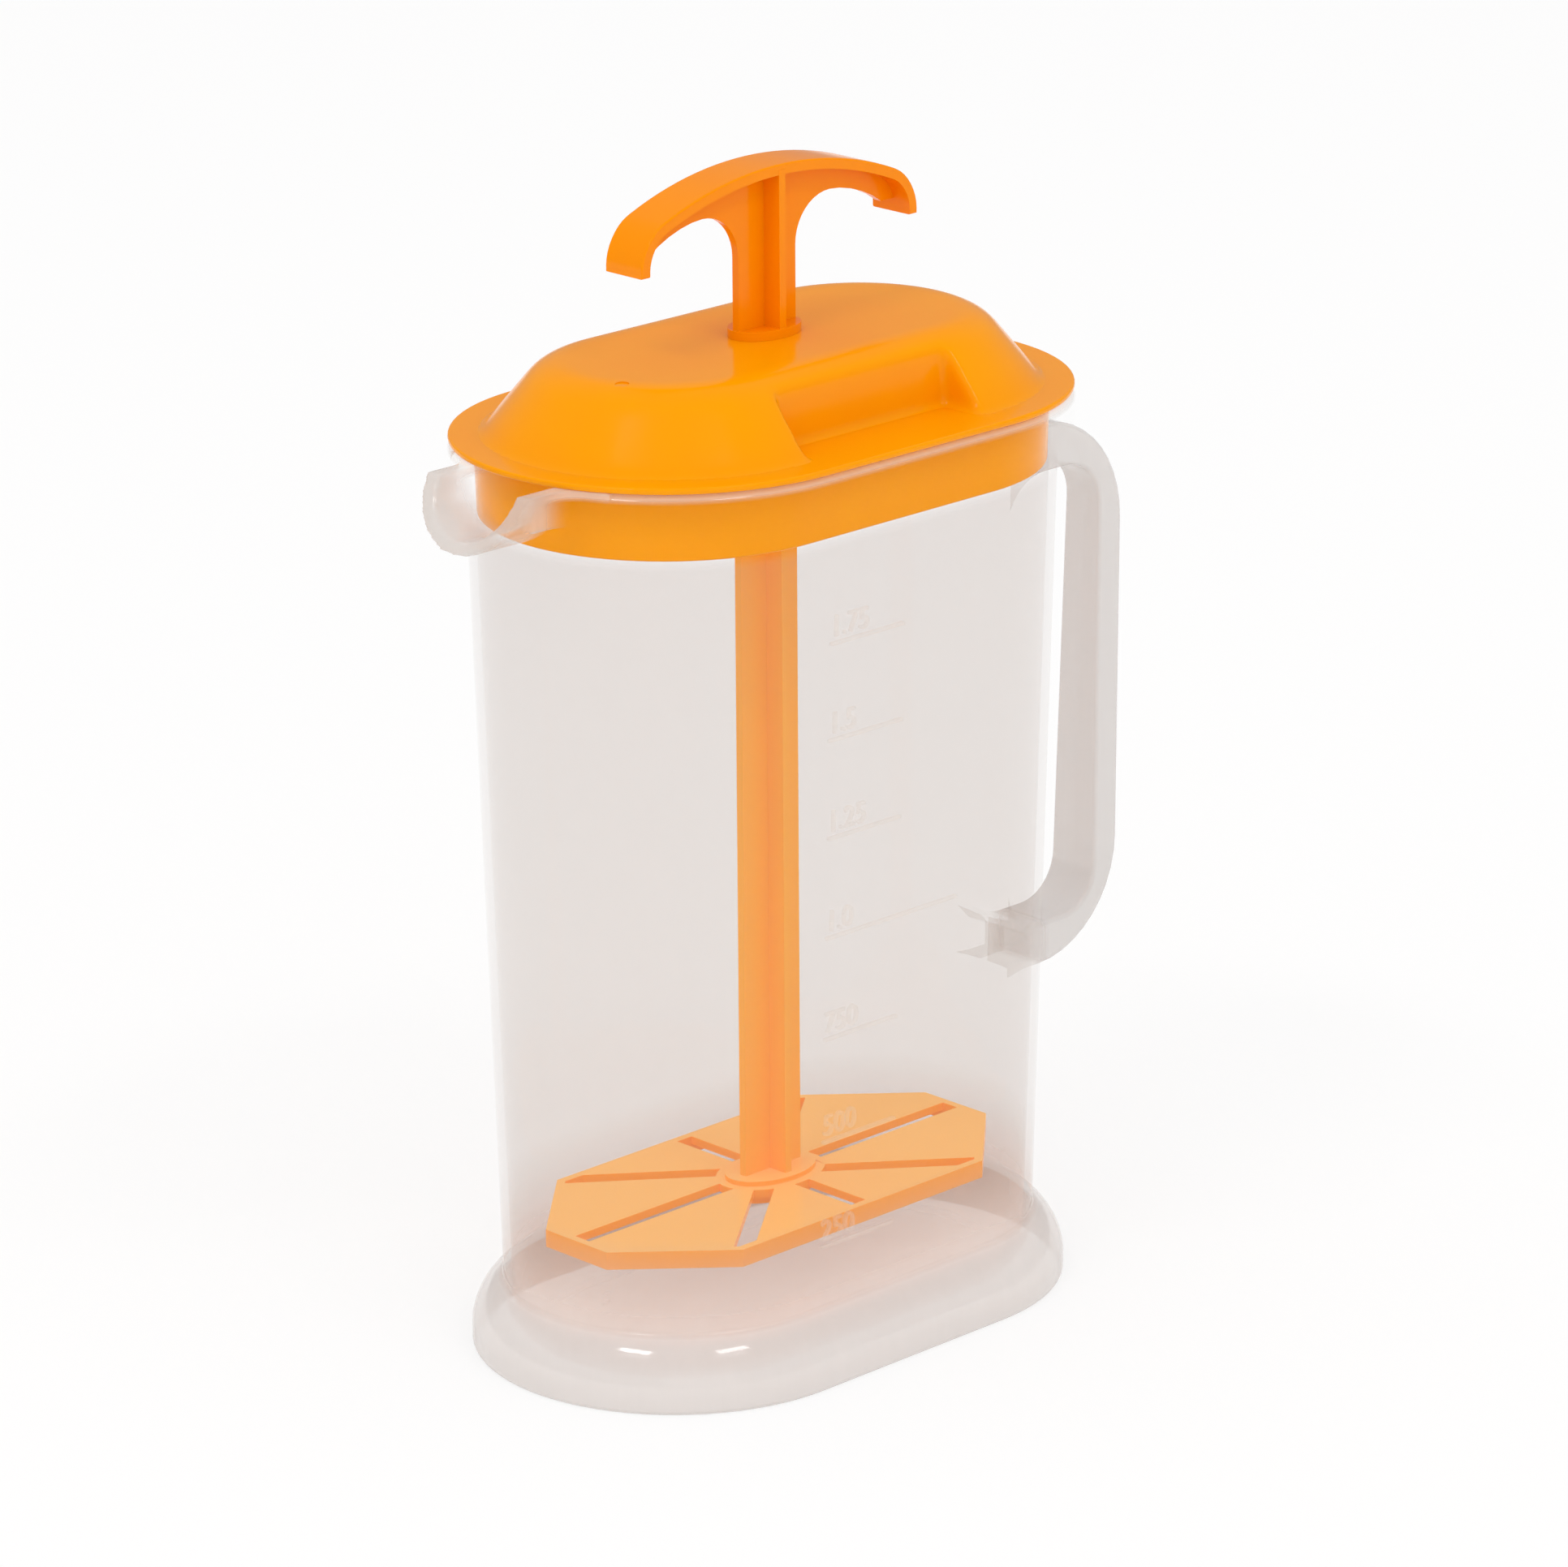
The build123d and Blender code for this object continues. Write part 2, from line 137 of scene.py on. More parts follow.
def round_corner(mesh: bmesh.types.BMesh, vert: bmesh.types.BMVert, radius: float) -> None:
    """Round one corner of a flat outline.

    Args:
        mesh: Mesh that holds the outline.
        vert: The corner, where two edges meet.
        radius: Radius of the round.
    """
    arms = [edge.other_vert(vert).co - vert.co for edge in vert.link_edges]
    turn = pi - arms[0].angle(arms[1])
    bmesh.ops.bevel(
        mesh,
        geom=[vert],
        offset=radius * tan(turn / 2),
        offset_type="OFFSET",
        affect="VERTICES",
        segments=max(2, ceil(turn / STEP_OF_ROUND)),
        profile=0.5,
        material=-1,
    )


def draw(view: View, corners: Iterable[Corner], depth: float) -> bmesh.types.BMesh:
    """Draw a flat outline with rounded corners.

    Args:
        view: Plane of the outline.
        corners: Its corners in order.
        depth: Place of the plane along its normal.

    Returns:
        A mesh with the outline's one face.
    """
    mesh = bmesh.new()
    drawn = [(mesh.verts.new(view.point(at.across, at.up, depth)), at.round) for at in corners]
    mesh.faces.new([vert for vert, _ in drawn])
    for vert, radius in drawn:
        if radius > 0:
            round_corner(mesh, vert, radius)
    return mesh


def ellipse(
    half_width: float, half_height: float, middle: tuple[float, float] = (0.0, 0.0), count: int = 48
) -> list[Corner]:
    """Corners of an ellipse.

    Args:
        half_width: Half its size across.
        half_height: Half its size upwards.
        middle: Its middle.
        count: Number of corners.

    Returns:
        The corners in order.
    """
    across, up = middle
    angles = (FULL_TURN * step / count for step in range(count))
    return [Corner(across + half_width * cos(turn), up + half_height * sin(turn)) for turn in angles]


def rectangle(half_length: float, half_width: float) -> list[Corner]:
    """Corners of a rectangle round the origin.

    Args:
        half_length: Half its size across.
        half_width: Half its size upwards.

    Returns:
        The corners in order.
    """
    return [
        Corner(-half_length, -half_width),
        Corner(half_length, -half_width),
        Corner(half_length, half_width),
        Corner(-half_length, half_width),
    ]


def thicken(mesh: bmesh.types.BMesh, way: Vector) -> None:
    """Draw the mesh's faces out into a closed solid.

    Args:
        mesh: Mesh that holds the faces.
        way: How far and where to they are drawn out.
    """
    grown = bmesh.ops.extrude_face_region(mesh, geom=mesh.faces[:])
    moved = [part for part in grown["geom"] if isinstance(part, bmesh.types.BMVert)]
    bmesh.ops.translate(mesh, verts=moved, vec=way)
    bmesh.ops.recalc_face_normals(mesh, faces=mesh.faces[:])


def bevel_edges(mesh: bmesh.types.BMesh, edges: list[bmesh.types.BMEdge], width: float) -> None:
    """Round the given edges of a solid.

    Args:
        mesh: Mesh of the solid.
        edges: Its edges to round.
        width: Width of the round.
    """
    bmesh.ops.bevel(
        mesh,
        geom=edges,
        offset=width,
        offset_type="OFFSET",
        affect="EDGES",
        segments=3,
        profile=0.5,
        material=-1,
        clamp_overlap=True,
    )


def as_solid(mesh: bmesh.types.BMesh, name: str) -> bpy.types.Object:
    """Make an object of a mesh, which is freed.

    Args:
        mesh: The mesh.
        name: Name of the object.

    Returns:
        The object.
    """
    data = bpy.data.meshes.new(name)
    mesh.to_mesh(data)
    mesh.free()
    solid = bpy.data.objects.new(name, data)
    bpy.context.scene.collection.objects.link(solid)
    return solid


def prism(
    view: View, corners: Iterable[Corner], low: float, high: float, edge: float = 0.0
) -> bpy.types.Object:
    """Make a solid with the same outline from end to end.

    Args:
        view: Plane of the outline.
        corners: Corners of the outline.
        low: Where the solid starts along the plane's normal.
        high: Where it ends.
        edge: Radius of the rounds along both end faces.

    Returns:
        The solid.
    """
    mesh = draw(view, corners, low)
    thicken(mesh, view.normal() * (high - low))
    if edge > 0:
        normal = view.normal()
        ends = [face for face in mesh.faces if abs(face.normal.dot(normal)) > cos(STEP_OF_ROUND)]
        rims = {rim for face in ends for rim in face.edges}
        bevel_edges(mesh, list(rims), edge)
    return as_solid(mesh, "prism")


def bake_modifiers(solid: bpy.types.Object) -> None:
    """Turn the object's modifiers into its mesh.

    Args:
        solid: Object that carries them.
    """
    depsgraph = bpy.context.evaluated_depsgraph_get()
    made = bpy.data.meshes.new_from_object(solid.evaluated_get(depsgraph), depsgraph=depsgraph)
    solid.modifiers.clear()
    old = solid.data
    solid.data = made
    bpy.data.meshes.remove(old)


def join(base: bpy.types.Object, tool: bpy.types.Object, how: Joining) -> None:
    """Add one solid to another, cut it away or keep what they share.

    Args:
        base: Solid that is changed.
        tool: Solid that acts on it and is used up.
        how: What it does.
    """
    modifier = base.modifiers.new("join", "BOOLEAN")
    modifier.operation = how.value
    modifier.solver = "EXACT"
    modifier.object = tool
    bake_modifiers(base)
    bpy.data.objects.remove(tool)


@dataclass(frozen=True)
class Oval:
    """Plan of the jug and the lid: two half circles joined by a straight run.

    Args:
        half_straight: Half the straight run.
        steps: Steps of each half circle.
    """

    half_straight: float = 30.1
    steps: int = 40

    def solid(self, corners: Sequence[Corner], name: str) -> bpy.types.Object:
        """Carry a half section round the oval.

        Args:
            corners: The section from the oval's middle line outwards, closed along that line.
            name: Name of the solid.

        Returns:
            The closed solid.
        """
        mesh = draw(View.SECTION, corners, self.half_straight)
        middle = [edge for edge in mesh.edges if all(abs(vert.co.y) < TOUCH for vert in edge.verts)]
        bmesh.ops.delete(mesh, geom=mesh.faces[:], context="FACES_ONLY")
        bmesh.ops.delete(mesh, geom=middle, context="EDGES")
        bmesh.ops.spin(
            mesh,
            geom=mesh.verts[:] + mesh.edges[:],
            cent=(self.half_straight, 0, 0),
            axis=(0, 0, 1),
            angle=-pi,
            steps=self.steps,
            use_merge=False,
            use_duplicate=False,
        )
        bmesh.ops.remove_doubles(mesh, verts=mesh.verts[:], dist=TOUCH)
        ends = [
            edge
            for edge in mesh.edges
            if all(abs(vert.co.x - self.half_straight) < TOUCH for vert in edge.verts)
        ]
        grown = bmesh.ops.extrude_edge_only(mesh, edges=ends)
        moved = [part for part in grown["geom"] if isinstance(part, bmesh.types.BMVert)]
        bmesh.ops.translate(mesh, verts=moved, vec=(-self.half_straight, 0, 0))
        bmesh.ops.mirror(mesh, geom=mesh.verts[:] + mesh.edges[:] + mesh.faces[:], axis="X", merge_dist=TOUCH)
        bmesh.ops.recalc_face_normals(mesh, faces=mesh.faces[:])
        return as_solid(mesh, name)


@dataclass(frozen=True)
class Placing:
    """Takes a finished piece from the jug's own axis, in millimetres, into the frame.

    Args:
        jug_x: Place of the jug's axis in the frame, in metres.
    """

    jug_x: float

    def settle(self, piece: bpy.types.Object) -> None:
        """Put the piece's place and size into its mesh."""
        piece.data.transform(Matrix.Translation((self.jug_x, 0, 0)) @ Matrix.Scale(MM, 4))


def melt(solid: bpy.types.Object, grain: float, turns: int) -> None:
    """Make one skin of a solid and round all its edges and corners softly.

    Args:
        solid: The solid.
        grain: Size of the new faces.
        turns: How often the skin is smoothed.
    """
    skin = solid.modifiers.new("one skin", "REMESH")
    skin.mode = "VOXEL"
    skin.voxel_size = grain
    skin.use_smooth_shade = True
    blends = solid.modifiers.new("soft blends", "SMOOTH")
    blends.factor = 0.5
    blends.iterations = turns
    bake_modifiers(solid)


def soften(piece: bpy.types.Object, width: float) -> None:
    """Give every sharp edge of a moulding its small round.

    Args:
        piece: The moulding, in millimetres.
        width: Width of the round.
    """
    mesh = bmesh.new()
    mesh.from_mesh(piece.data)
    bmesh.ops.remove_doubles(mesh, verts=mesh.verts[:], dist=SLIVER)
    bmesh.ops.dissolve_degenerate(mesh, dist=SLIVER, edges=mesh.edges[:])
    mesh.to_mesh(piece.data)
    mesh.free()
    modifier = piece.modifiers.new("small rounds", "BEVEL")
    modifier.width = width
    modifier.segments = 2
    modifier.limit_method = "ANGLE"
    modifier.angle_limit = SHARP_ANGLE
    modifier.use_clamp_overlap = True
    bake_modifiers(piece)


def smooth(piece: bpy.types.Object) -> None:
    """Shade a piece smooth, apart from its sharp edges, with its flat faces kept flat.

    Args:
        piece: The finished piece.
    """
    mesh = bmesh.new()
    mesh.from_mesh(piece.data)
    for face in mesh.faces:
        face.smooth = True
    for edge in mesh.edges:
        edge.smooth = edge.calc_face_angle(0.0) < SHARP_ANGLE
    mesh.to_mesh(piece.data)
    mesh.free()
    weighted = piece.modifiers.new("flat faces stay flat", "WEIGHTED_NORMAL")
    weighted.keep_sharp = True
    weighted.weight = 80


def add_node(
    tree: bpy.types.NodeTree,
    kind: str,
    settings: dict | None = None,
    values: dict | None = None,
    links: dict | None = None,
) -> bpy.types.Node:
    """Add a node with its settings, the values of its inputs and the links into it.

    Args:
        tree: Tree that gets the node.
        kind: Type of the node.
        settings: Properties of the node.
        values: Values of inputs, by name or number.
        links: Outputs that feed inputs, by name or number.

    Returns:
        The node.
    """
    node = tree.nodes.new(kind)
    for name, value in (settings or {}).items():
        setattr(node, name, value)
    for key, value in (values or {}).items():
        node.inputs[key].default_value = value
    for key, output in (links or {}).items():
        tree.links.new(output, node.inputs[key])
    return node


def empty_material(name: str) -> tuple[bpy.types.Material, bpy.types.NodeTree]:
    """Make a material with an empty node tree.

    Args:
        name: Name of the material.

    Returns:
        The material and its tree.
    """
    material = bpy.data.materials.new(name)
    material.use_nodes = True
    material.node_tree.nodes.clear()
    return material, material.node_tree


@dataclass(frozen=True)
class OrangePolypropylene:
    """Glossy orange polypropylene, injection moulded.

    The polished mould leaves a clear gloss with a faint waviness, and the pigment sits evenly in
    the plastic, so only the gloss and a little cloudiness change over the surface. Below a given
    height, painted light can be added: a paler colour, paler still on faces that look up, and a
    painted glow. These stand in for the light that the milky walls round the piece scatter onto it.

    Args:
        name: Name of the material.
        colour: Colour of the pigment.
        deep_colour: Colour where the pigment lies denser.
        painted_light_colour: Paler colour below a given height: painted light for the light that the milky
            walls scatter onto the piece.
        upper_painted_light_colour: Colour of its faces that look up there, painted paler still, as the light
            from the milky walls falls most on them.
        painted_light_top: Height up to which the piece is painted paler with light, in millimetres, 0 for
            nowhere.
        painted_light_fade: Height over which the painted light ends above that, in millimetres.
        gloss: Roughness of the polished face.
        gloss_spread: Factors of the roughness where the pigment lies thin and dense.
        mirror: How strongly the face mirrors, 0.5 for plain plastic.
        wave: Width of the waves in the surface, in millimetres.
        wave_height: Height of the waves, in millimetres.
        glow: Share of the light that travels through the plastic.
        glow_depth: How far that light travels, in millimetres.
        glow_reach: Share of that depth for red, green and blue light.
        painted_glow: Strength of a painted glow in the paler part, an emission in its colour that stands in
            for light the milky walls pass on.
    """

    name: str
    colour: str = "#f79300"
    deep_colour: str = "#f38c00"
    # painted light: the next four fields paint the piece paler below a height, and paler still where it faces
    # up
    painted_light_colour: str = "#fcb030"
    upper_painted_light_colour: str = "#fdbd66"
    painted_light_top: float = 0.0
    painted_light_fade: float = 36.0
    gloss: float = 0.16
    gloss_spread: tuple[float, float] = (0.8, 1.25)
    mirror: float = 0.16
    wave: float = 22.0
    wave_height: float = 0.02
    glow: float = 0.06
    glow_depth: float = 2.0
    glow_reach: tuple[float, float, float] = (1.0, 0.45, 0.1)
    # painted glow: emission that stands in for light passed on by the milky walls
    painted_glow: float = 0.0

    def make(self) -> bpy.types.Material:
        """Build the material.

        Returns:
            The material.
        """
        material, tree = empty_material(self.name)
        place = add_node(tree, "ShaderNodeTexCoord").outputs["Object"]
        cloud = add_node(
            tree,
            "ShaderNodeTexNoise",
            values={"Scale": 1 / (self.wave * MM), "Detail": 3.0, "Roughness": 0.5},
            links={"Vector": place},
        ).outputs["Fac"]
        colour = add_node(
            tree,
            "ShaderNodeMix",
            settings={"data_type": "RGBA"},
            values={COLOUR_A: linear(self.colour), COLOUR_B: linear(self.deep_colour)},
            links={FACTOR: cloud},
        ).outputs[COLOUR_RESULT]
        # painted glow: the paler part gives off light in its own colour, standing in for light that the milky
        # walls pass on
        light = {}
        if self.painted_light_top > 0:
            colour, strength = self.painted_light(tree, place, colour)
            light = {"Emission Color": colour, "Emission Strength": strength}
        gloss = add_node(
            tree,
            "ShaderNodeMapRange",
            values={
                "From Min": CLOUD_LOW,
                "From Max": CLOUD_HIGH,
                "To Min": self.gloss * self.gloss_spread[0],
                "To Max": self.gloss * self.gloss_spread[1],
            },
            links={"Value": cloud},
        )
        wave = add_node(
            tree,
            "ShaderNodeBump",
            values={"Strength": 1.0, "Distance": self.wave_height * MM},
            links={"Height": cloud},
        )
        surface = add_node(
            tree,
            "ShaderNodeBsdfPrincipled",
            values={
                "IOR": IOR_OF_POLYPROPYLENE,
                "Specular IOR Level": self.mirror,
                "Subsurface Weight": self.glow,
                "Subsurface Radius": self.glow_reach,
                "Subsurface Scale": self.glow_depth * MM,
            },
            links={
                "Base Color": colour,
                "Roughness": gloss.outputs["Result"],
                "Normal": wave.outputs["Normal"],
                **light,
            },
        )
        add_node(tree, "ShaderNodeOutputMaterial", links={"Surface": surface.outputs[0]})
        return material

    def painted_light(
        self, tree: bpy.types.NodeTree, place: bpy.types.NodeSocket, colour: bpy.types.NodeSocket
    ) -> tuple[bpy.types.NodeSocket, bpy.types.NodeSocket]:
        """Paint light onto the part below a given height: a paler colour, paler still on the faces that look
        up, and a glow.

        Args:
            tree: Tree of the material.
            place: Place on the piece.
            colour: Colour above the painted light.

        Returns:
            The colour of the whole piece, with its painted light, and the strength of its painted glow.
        """
        painted_light_ends = self.painted_light_top + self.painted_light_fade
        height = add_node(tree, "ShaderNodeSeparateXYZ", links={0: place}).outputs["Z"]
        # painted light: 1 below the given height, fading to 0 above it
        painted_light = add_node(
            tree,
            "ShaderNodeMapRange",
            values={"From Min": painted_light_ends * MM, "From Max": self.painted_light_top * MM},
            links={"Value": height},
        ).outputs["Result"]
        normal = add_node(tree, "ShaderNodeNewGeometry").outputs["Normal"]
        upward = add_node(tree, "ShaderNodeSeparateXYZ", links={0: normal}).outputs["Z"]
        # painted light: faces that look up are painted paler, as if the milky walls lit them most
        pale = add_node(
            tree,
            "ShaderNodeMix",
            settings={"data_type": "RGBA"},
            values={COLOUR_A: linear(self.painted_light_colour), COLOUR_B: linear(self.upper_painted_light_colour)},
            links={FACTOR: upward},
        ).outputs[COLOUR_RESULT]
        colour = add_node(
            tree,
            "ShaderNodeMix",
            settings={"data_type": "RGBA"},
            links={FACTOR: painted_light, COLOUR_A: colour, COLOUR_B: pale},
        ).outputs[COLOUR_RESULT]
        # painted glow: strength of the emission in the painted-light part
        strength = add_node(
            tree,
            "ShaderNodeMath",
            settings={"operation": "MULTIPLY"},
            values={1: self.painted_glow},
            links={0: painted_light},
        ).outputs[0]
        return colour, strength


@dataclass(frozen=True)
class NaturalPolypropylene:
    """Natural polypropylene without pigment, injection moulded.

    It is milky: the eye sees through it as through thin fog. The fog is denser in the thick foot,
    rim, spout and handle, thin where the polished mouth takes the lid, and faint streaks run up
    the wall, the way that the plastic flowed. Near the floor, in the plate's shade, the fog is
    denser and painted paler and warmer: painted light and a painted reflection of the orange plate.

    Args:
        name: Name of the material.
        jug: The jug, whose sizes say where the fog changes.
        jug_x: Place of the jug's axis in the frame, in metres.
        colour: Colour of the fog in the wall.
        haze_painted_light_colour: The same near the floor, paler and warmer: painted light in the plate's
            shade and a painted reflection of the orange plate.
        foot_colour: The same in the foot's skirt.
        rim_colour: The same along the top of the rim.
        spout_colour: The same in the spout.
        handle_colour: The same in the handle.
        fog: Share of the light that one face of the wall keeps back.
        mouth_fog: The same at the mouth, behind which the lid's skirt sits.
        haze_fog: The same near the floor.
        foot_fog: The same in the foot's skirt.
        rim_fog: The same along the top of the rim.
        spout_fog: The same in the spout.
        handle_fog: The same in the handle.
        haze: Heights between which the haze near the floor thins out, in millimetres.
        mouth: Lowest and highest place of the thin fog at the mouth, in millimetres.
        skirt: Places off the wall between which the foot's fog sets in, in millimetres.
        spout_start: Distance from the middle where the spout starts, in millimetres.
        handle_start: Distance from the middle where the handle leaves its roots, in millimetres.
        fade: Length over which one fog passes into the next, in millimetres.
        rim_fade: The same at the rim, in millimetres.
        spout_fade: The same at the spout, in millimetres.
        streak: Width of a streak, in millimetres.
        streak_stretch: Width of a streak as a share of its length.
        streak_contrast: How much more or less fog a streak has.
        flow_height: Height of the streaks in the surface, in millimetres.
        flow_strength: Share of that height that shows.
        gloss: Roughness of the face.
        mirror: How strongly the face mirrors, 0.5 for plain plastic.
    """

    name: str
    jug: "JugShell"
    jug_x: float
    colour: str = "#b9a696"
    haze_painted_light_colour: str = "#fbece2"
    foot_colour: str = "#efe8e3"
    rim_colour: str = "#f0e6dc"
    spout_colour: str = "#dbd2ca"
    handle_colour: str = "#ddd8d4"
    fog: float = 0.12
    mouth_fog: float = 0.008
    haze_fog: float = 0.34
    foot_fog: float = 0.58
    rim_fog: float = 0.45
    spout_fog: float = 0.50
    handle_fog: float = 0.55
    haze: tuple[float, float] = (18.0, 40.0)
    mouth: tuple[float, float] = (200.0, 216.6)
    skirt: tuple[float, float] = (-0.4, 1.4)
    spout_start: float = 77.5
    handle_start: float = 82.0
    fade: float = 3.0
    rim_fade: float = 1.2
    spout_fade: float = 7.5
    streak: float = 5.0
    streak_stretch: float = 0.03
    streak_contrast: float = 0.015
    flow_height: float = 0.01
    flow_strength: float = 0.15
    gloss: float = 0.08
    mirror: float = 1.0

    def off_wall(
        self, tree: bpy.types.NodeTree, place: bpy.types.NodeSocket, up: bpy.types.NodeSocket
    ) -> bpy.types.NodeSocket:
        """Work out how far a place lies from the oval's straight run, less the wall's lean.

        Args:
            tree: Tree of the material.
            place: Place on the piece.
            up: Its height.

        Returns:
            The distance, in metres.
        """
        off_run = place
        for operation, value in (
            ("SUBTRACT", (self.jug_x, 0, 0)),
            ("ABSOLUTE", None),
            ("SUBTRACT", (self.jug.oval.half_straight * MM, 0, 0)),
            ("MAXIMUM", (0, 0, 0)),
            ("MULTIPLY", (1, 1, 0)),
        ):
            off_run = add_node(
                tree,
                "ShaderNodeVectorMath",
                settings={"operation": operation},
                values={1: value} if value else None,
                links={0: off_run},
            ).outputs["Vector"]
        radius = add_node(
            tree, "ShaderNodeVectorMath", settings={"operation": "LENGTH"}, links={0: off_run}
        ).outputs["Value"]
        return add_node(
            tree,
            "ShaderNodeMath",
            settings={"operation": "MULTIPLY_ADD"},
            values={1: -self.jug.draft},
            links={0: up, 2: radius},
        ).outputs[0]

    def zones(
        self, tree: bpy.types.NodeTree, place: bpy.types.NodeSocket
    ) -> dict[str, bpy.types.NodeSocket]:
        """Find the parts of the jug that have a fog of their own.

        Args:
            tree: Tree of the material.
            place: Place on the piece.

        Returns:
            How far a place belongs to each part, from 0 to 1.
        """
        axes = add_node(tree, "ShaderNodeSeparateXYZ", links={0: place})
        up = axes.outputs["Z"]
        sideways = add_node(
            tree,
            "ShaderNodeMath",
            settings={"operation": "SUBTRACT"},
            values={1: self.jug_x},
            links={0: axes.outputs["X"]},
        ).outputs[0]
        low, high = self.mouth
        foot, wall = self.jug.foot_top, self.jug.radius_at_base
        spout, handle = -self.spout_start, self.handle_start
        skirt_starts, skirt_ends = wall + self.skirt[0], wall + self.skirt[1]
        found = {}
        for zone, along, outside, inside, course in (
            ("mouth", up, low, low + self.fade, "LINEAR"),
            ("below mouth", up, low, low - 1, "LINEAR"),
            ("rim", up, high, high + self.rim_fade, "LINEAR"),
            ("haze", up, self.haze[1], self.haze[0], "LINEAR"),
            ("low", up, foot + 2 * self.fade, foot, "LINEAR"),
            ("skirt", self.off_wall(tree, place, up), skirt_starts, skirt_ends, "LINEAR"),
            ("spout", sideways, spout, spout - self.spout_fade, "SMOOTHSTEP"),
            ("beyond roots", sideways, handle, handle + 2 * self.fade, "SMOOTHSTEP"),
        ):
            found[zone] = add_node(
                tree,
                "ShaderNodeMapRange",
                settings={"interpolation_type": course},
                values={"From Min": outside * MM, "From Max": inside * MM},
                links={"Value": along},
            ).outputs["Result"]
        for zone, one, other in (("foot", "low", "skirt"), ("handle", "beyond roots", "below mouth")):
            found[zone] = add_node(
                tree,
                "ShaderNodeMath",
                settings={"operation": "MULTIPLY"},
                links={0: found[one], 1: found[other]},
            ).outputs[0]
        return found

    def make(self) -> bpy.types.Material:
        """Build the material.

        Returns:
            The material.
        """
        material, tree = empty_material(self.name)
        place = add_node(tree, "ShaderNodeTexCoord").outputs["Object"]
        zones = self.zones(tree, place)
        fog = add_node(tree, "ShaderNodeValue").outputs[0]
        fog.default_value = self.fog
        colour = add_node(tree, "ShaderNodeRGB").outputs[0]
        colour.default_value = linear(self.colour)
        for zone, its_fog, its_colour in (
            ("mouth", self.mouth_fog, self.colour),
            # near the floor the fog is painted paler and warmer: painted light in the plate's shade and a
            # painted reflection of the orange plate
            ("haze", self.haze_fog, self.haze_painted_light_colour),
            ("foot", self.foot_fog, self.foot_colour),
            ("rim", self.rim_fog, self.rim_colour),
            ("spout", self.spout_fog, self.spout_colour),
            ("handle", self.handle_fog, self.handle_colour),
        ):
            fog = add_node(
                tree,
                "ShaderNodeMix",
                settings={"data_type": "FLOAT"},
                values={FLOAT_B: its_fog},
                links={FACTOR: zones[zone], FLOAT_A: fog},
            ).outputs[0]
            colour = add_node(
                tree,
                "ShaderNodeMix",
                settings={"data_type": "RGBA"},
                values={COLOUR_B: linear(its_colour)},
                links={FACTOR: zones[zone], COLOUR_A: colour},
            ).outputs[COLOUR_RESULT]
        along_flow = add_node(
            tree,
            "ShaderNodeMapping",
            values={"Scale": (1.0, 1.0, self.streak_stretch)},
            links={"Vector": place},
        )
        streaks = add_node(
            tree,
            "ShaderNodeTexNoise",
            values={"Scale": 1 / (self.streak * MM), "Detail": 4.0, "Roughness": 0.6},
            links={"Vector": along_flow.outputs["Vector"]},
        ).outputs["Fac"]
        streaked = add_node(
            tree,
            "ShaderNodeMapRange",
            values={
                "From Min": CLOUD_LOW,
                "From Max": CLOUD_HIGH,
                "To Min": 1 - self.streak_contrast,
                "To Max": 1 + self.streak_contrast,
            },
            links={"Value": streaks},
        ).outputs["Result"]
        fog = add_node(
            tree,
            "ShaderNodeMath",
            settings={"operation": "MULTIPLY", "use_clamp": True},
            links={0: fog, 1: streaked},
        ).outputs[0]
        flow = add_node(
            tree,
            "ShaderNodeBump",
            values={"Strength": self.flow_strength, "Distance": self.flow_height * MM},
            links={"Height": streaks},
        )
        surface = add_node(
            tree,
            "ShaderNodeBsdfPrincipled",
            values={
                "Roughness": self.gloss,
                "IOR": IOR_OF_POLYPROPYLENE,
                "Specular IOR Level": self.mirror,
            },
            links={"Base Color": colour, "Alpha": fog, "Normal": flow.outputs["Normal"]},
        )
        add_node(tree, "ShaderNodeOutputMaterial", links={"Surface": surface.outputs[0]})
        return material


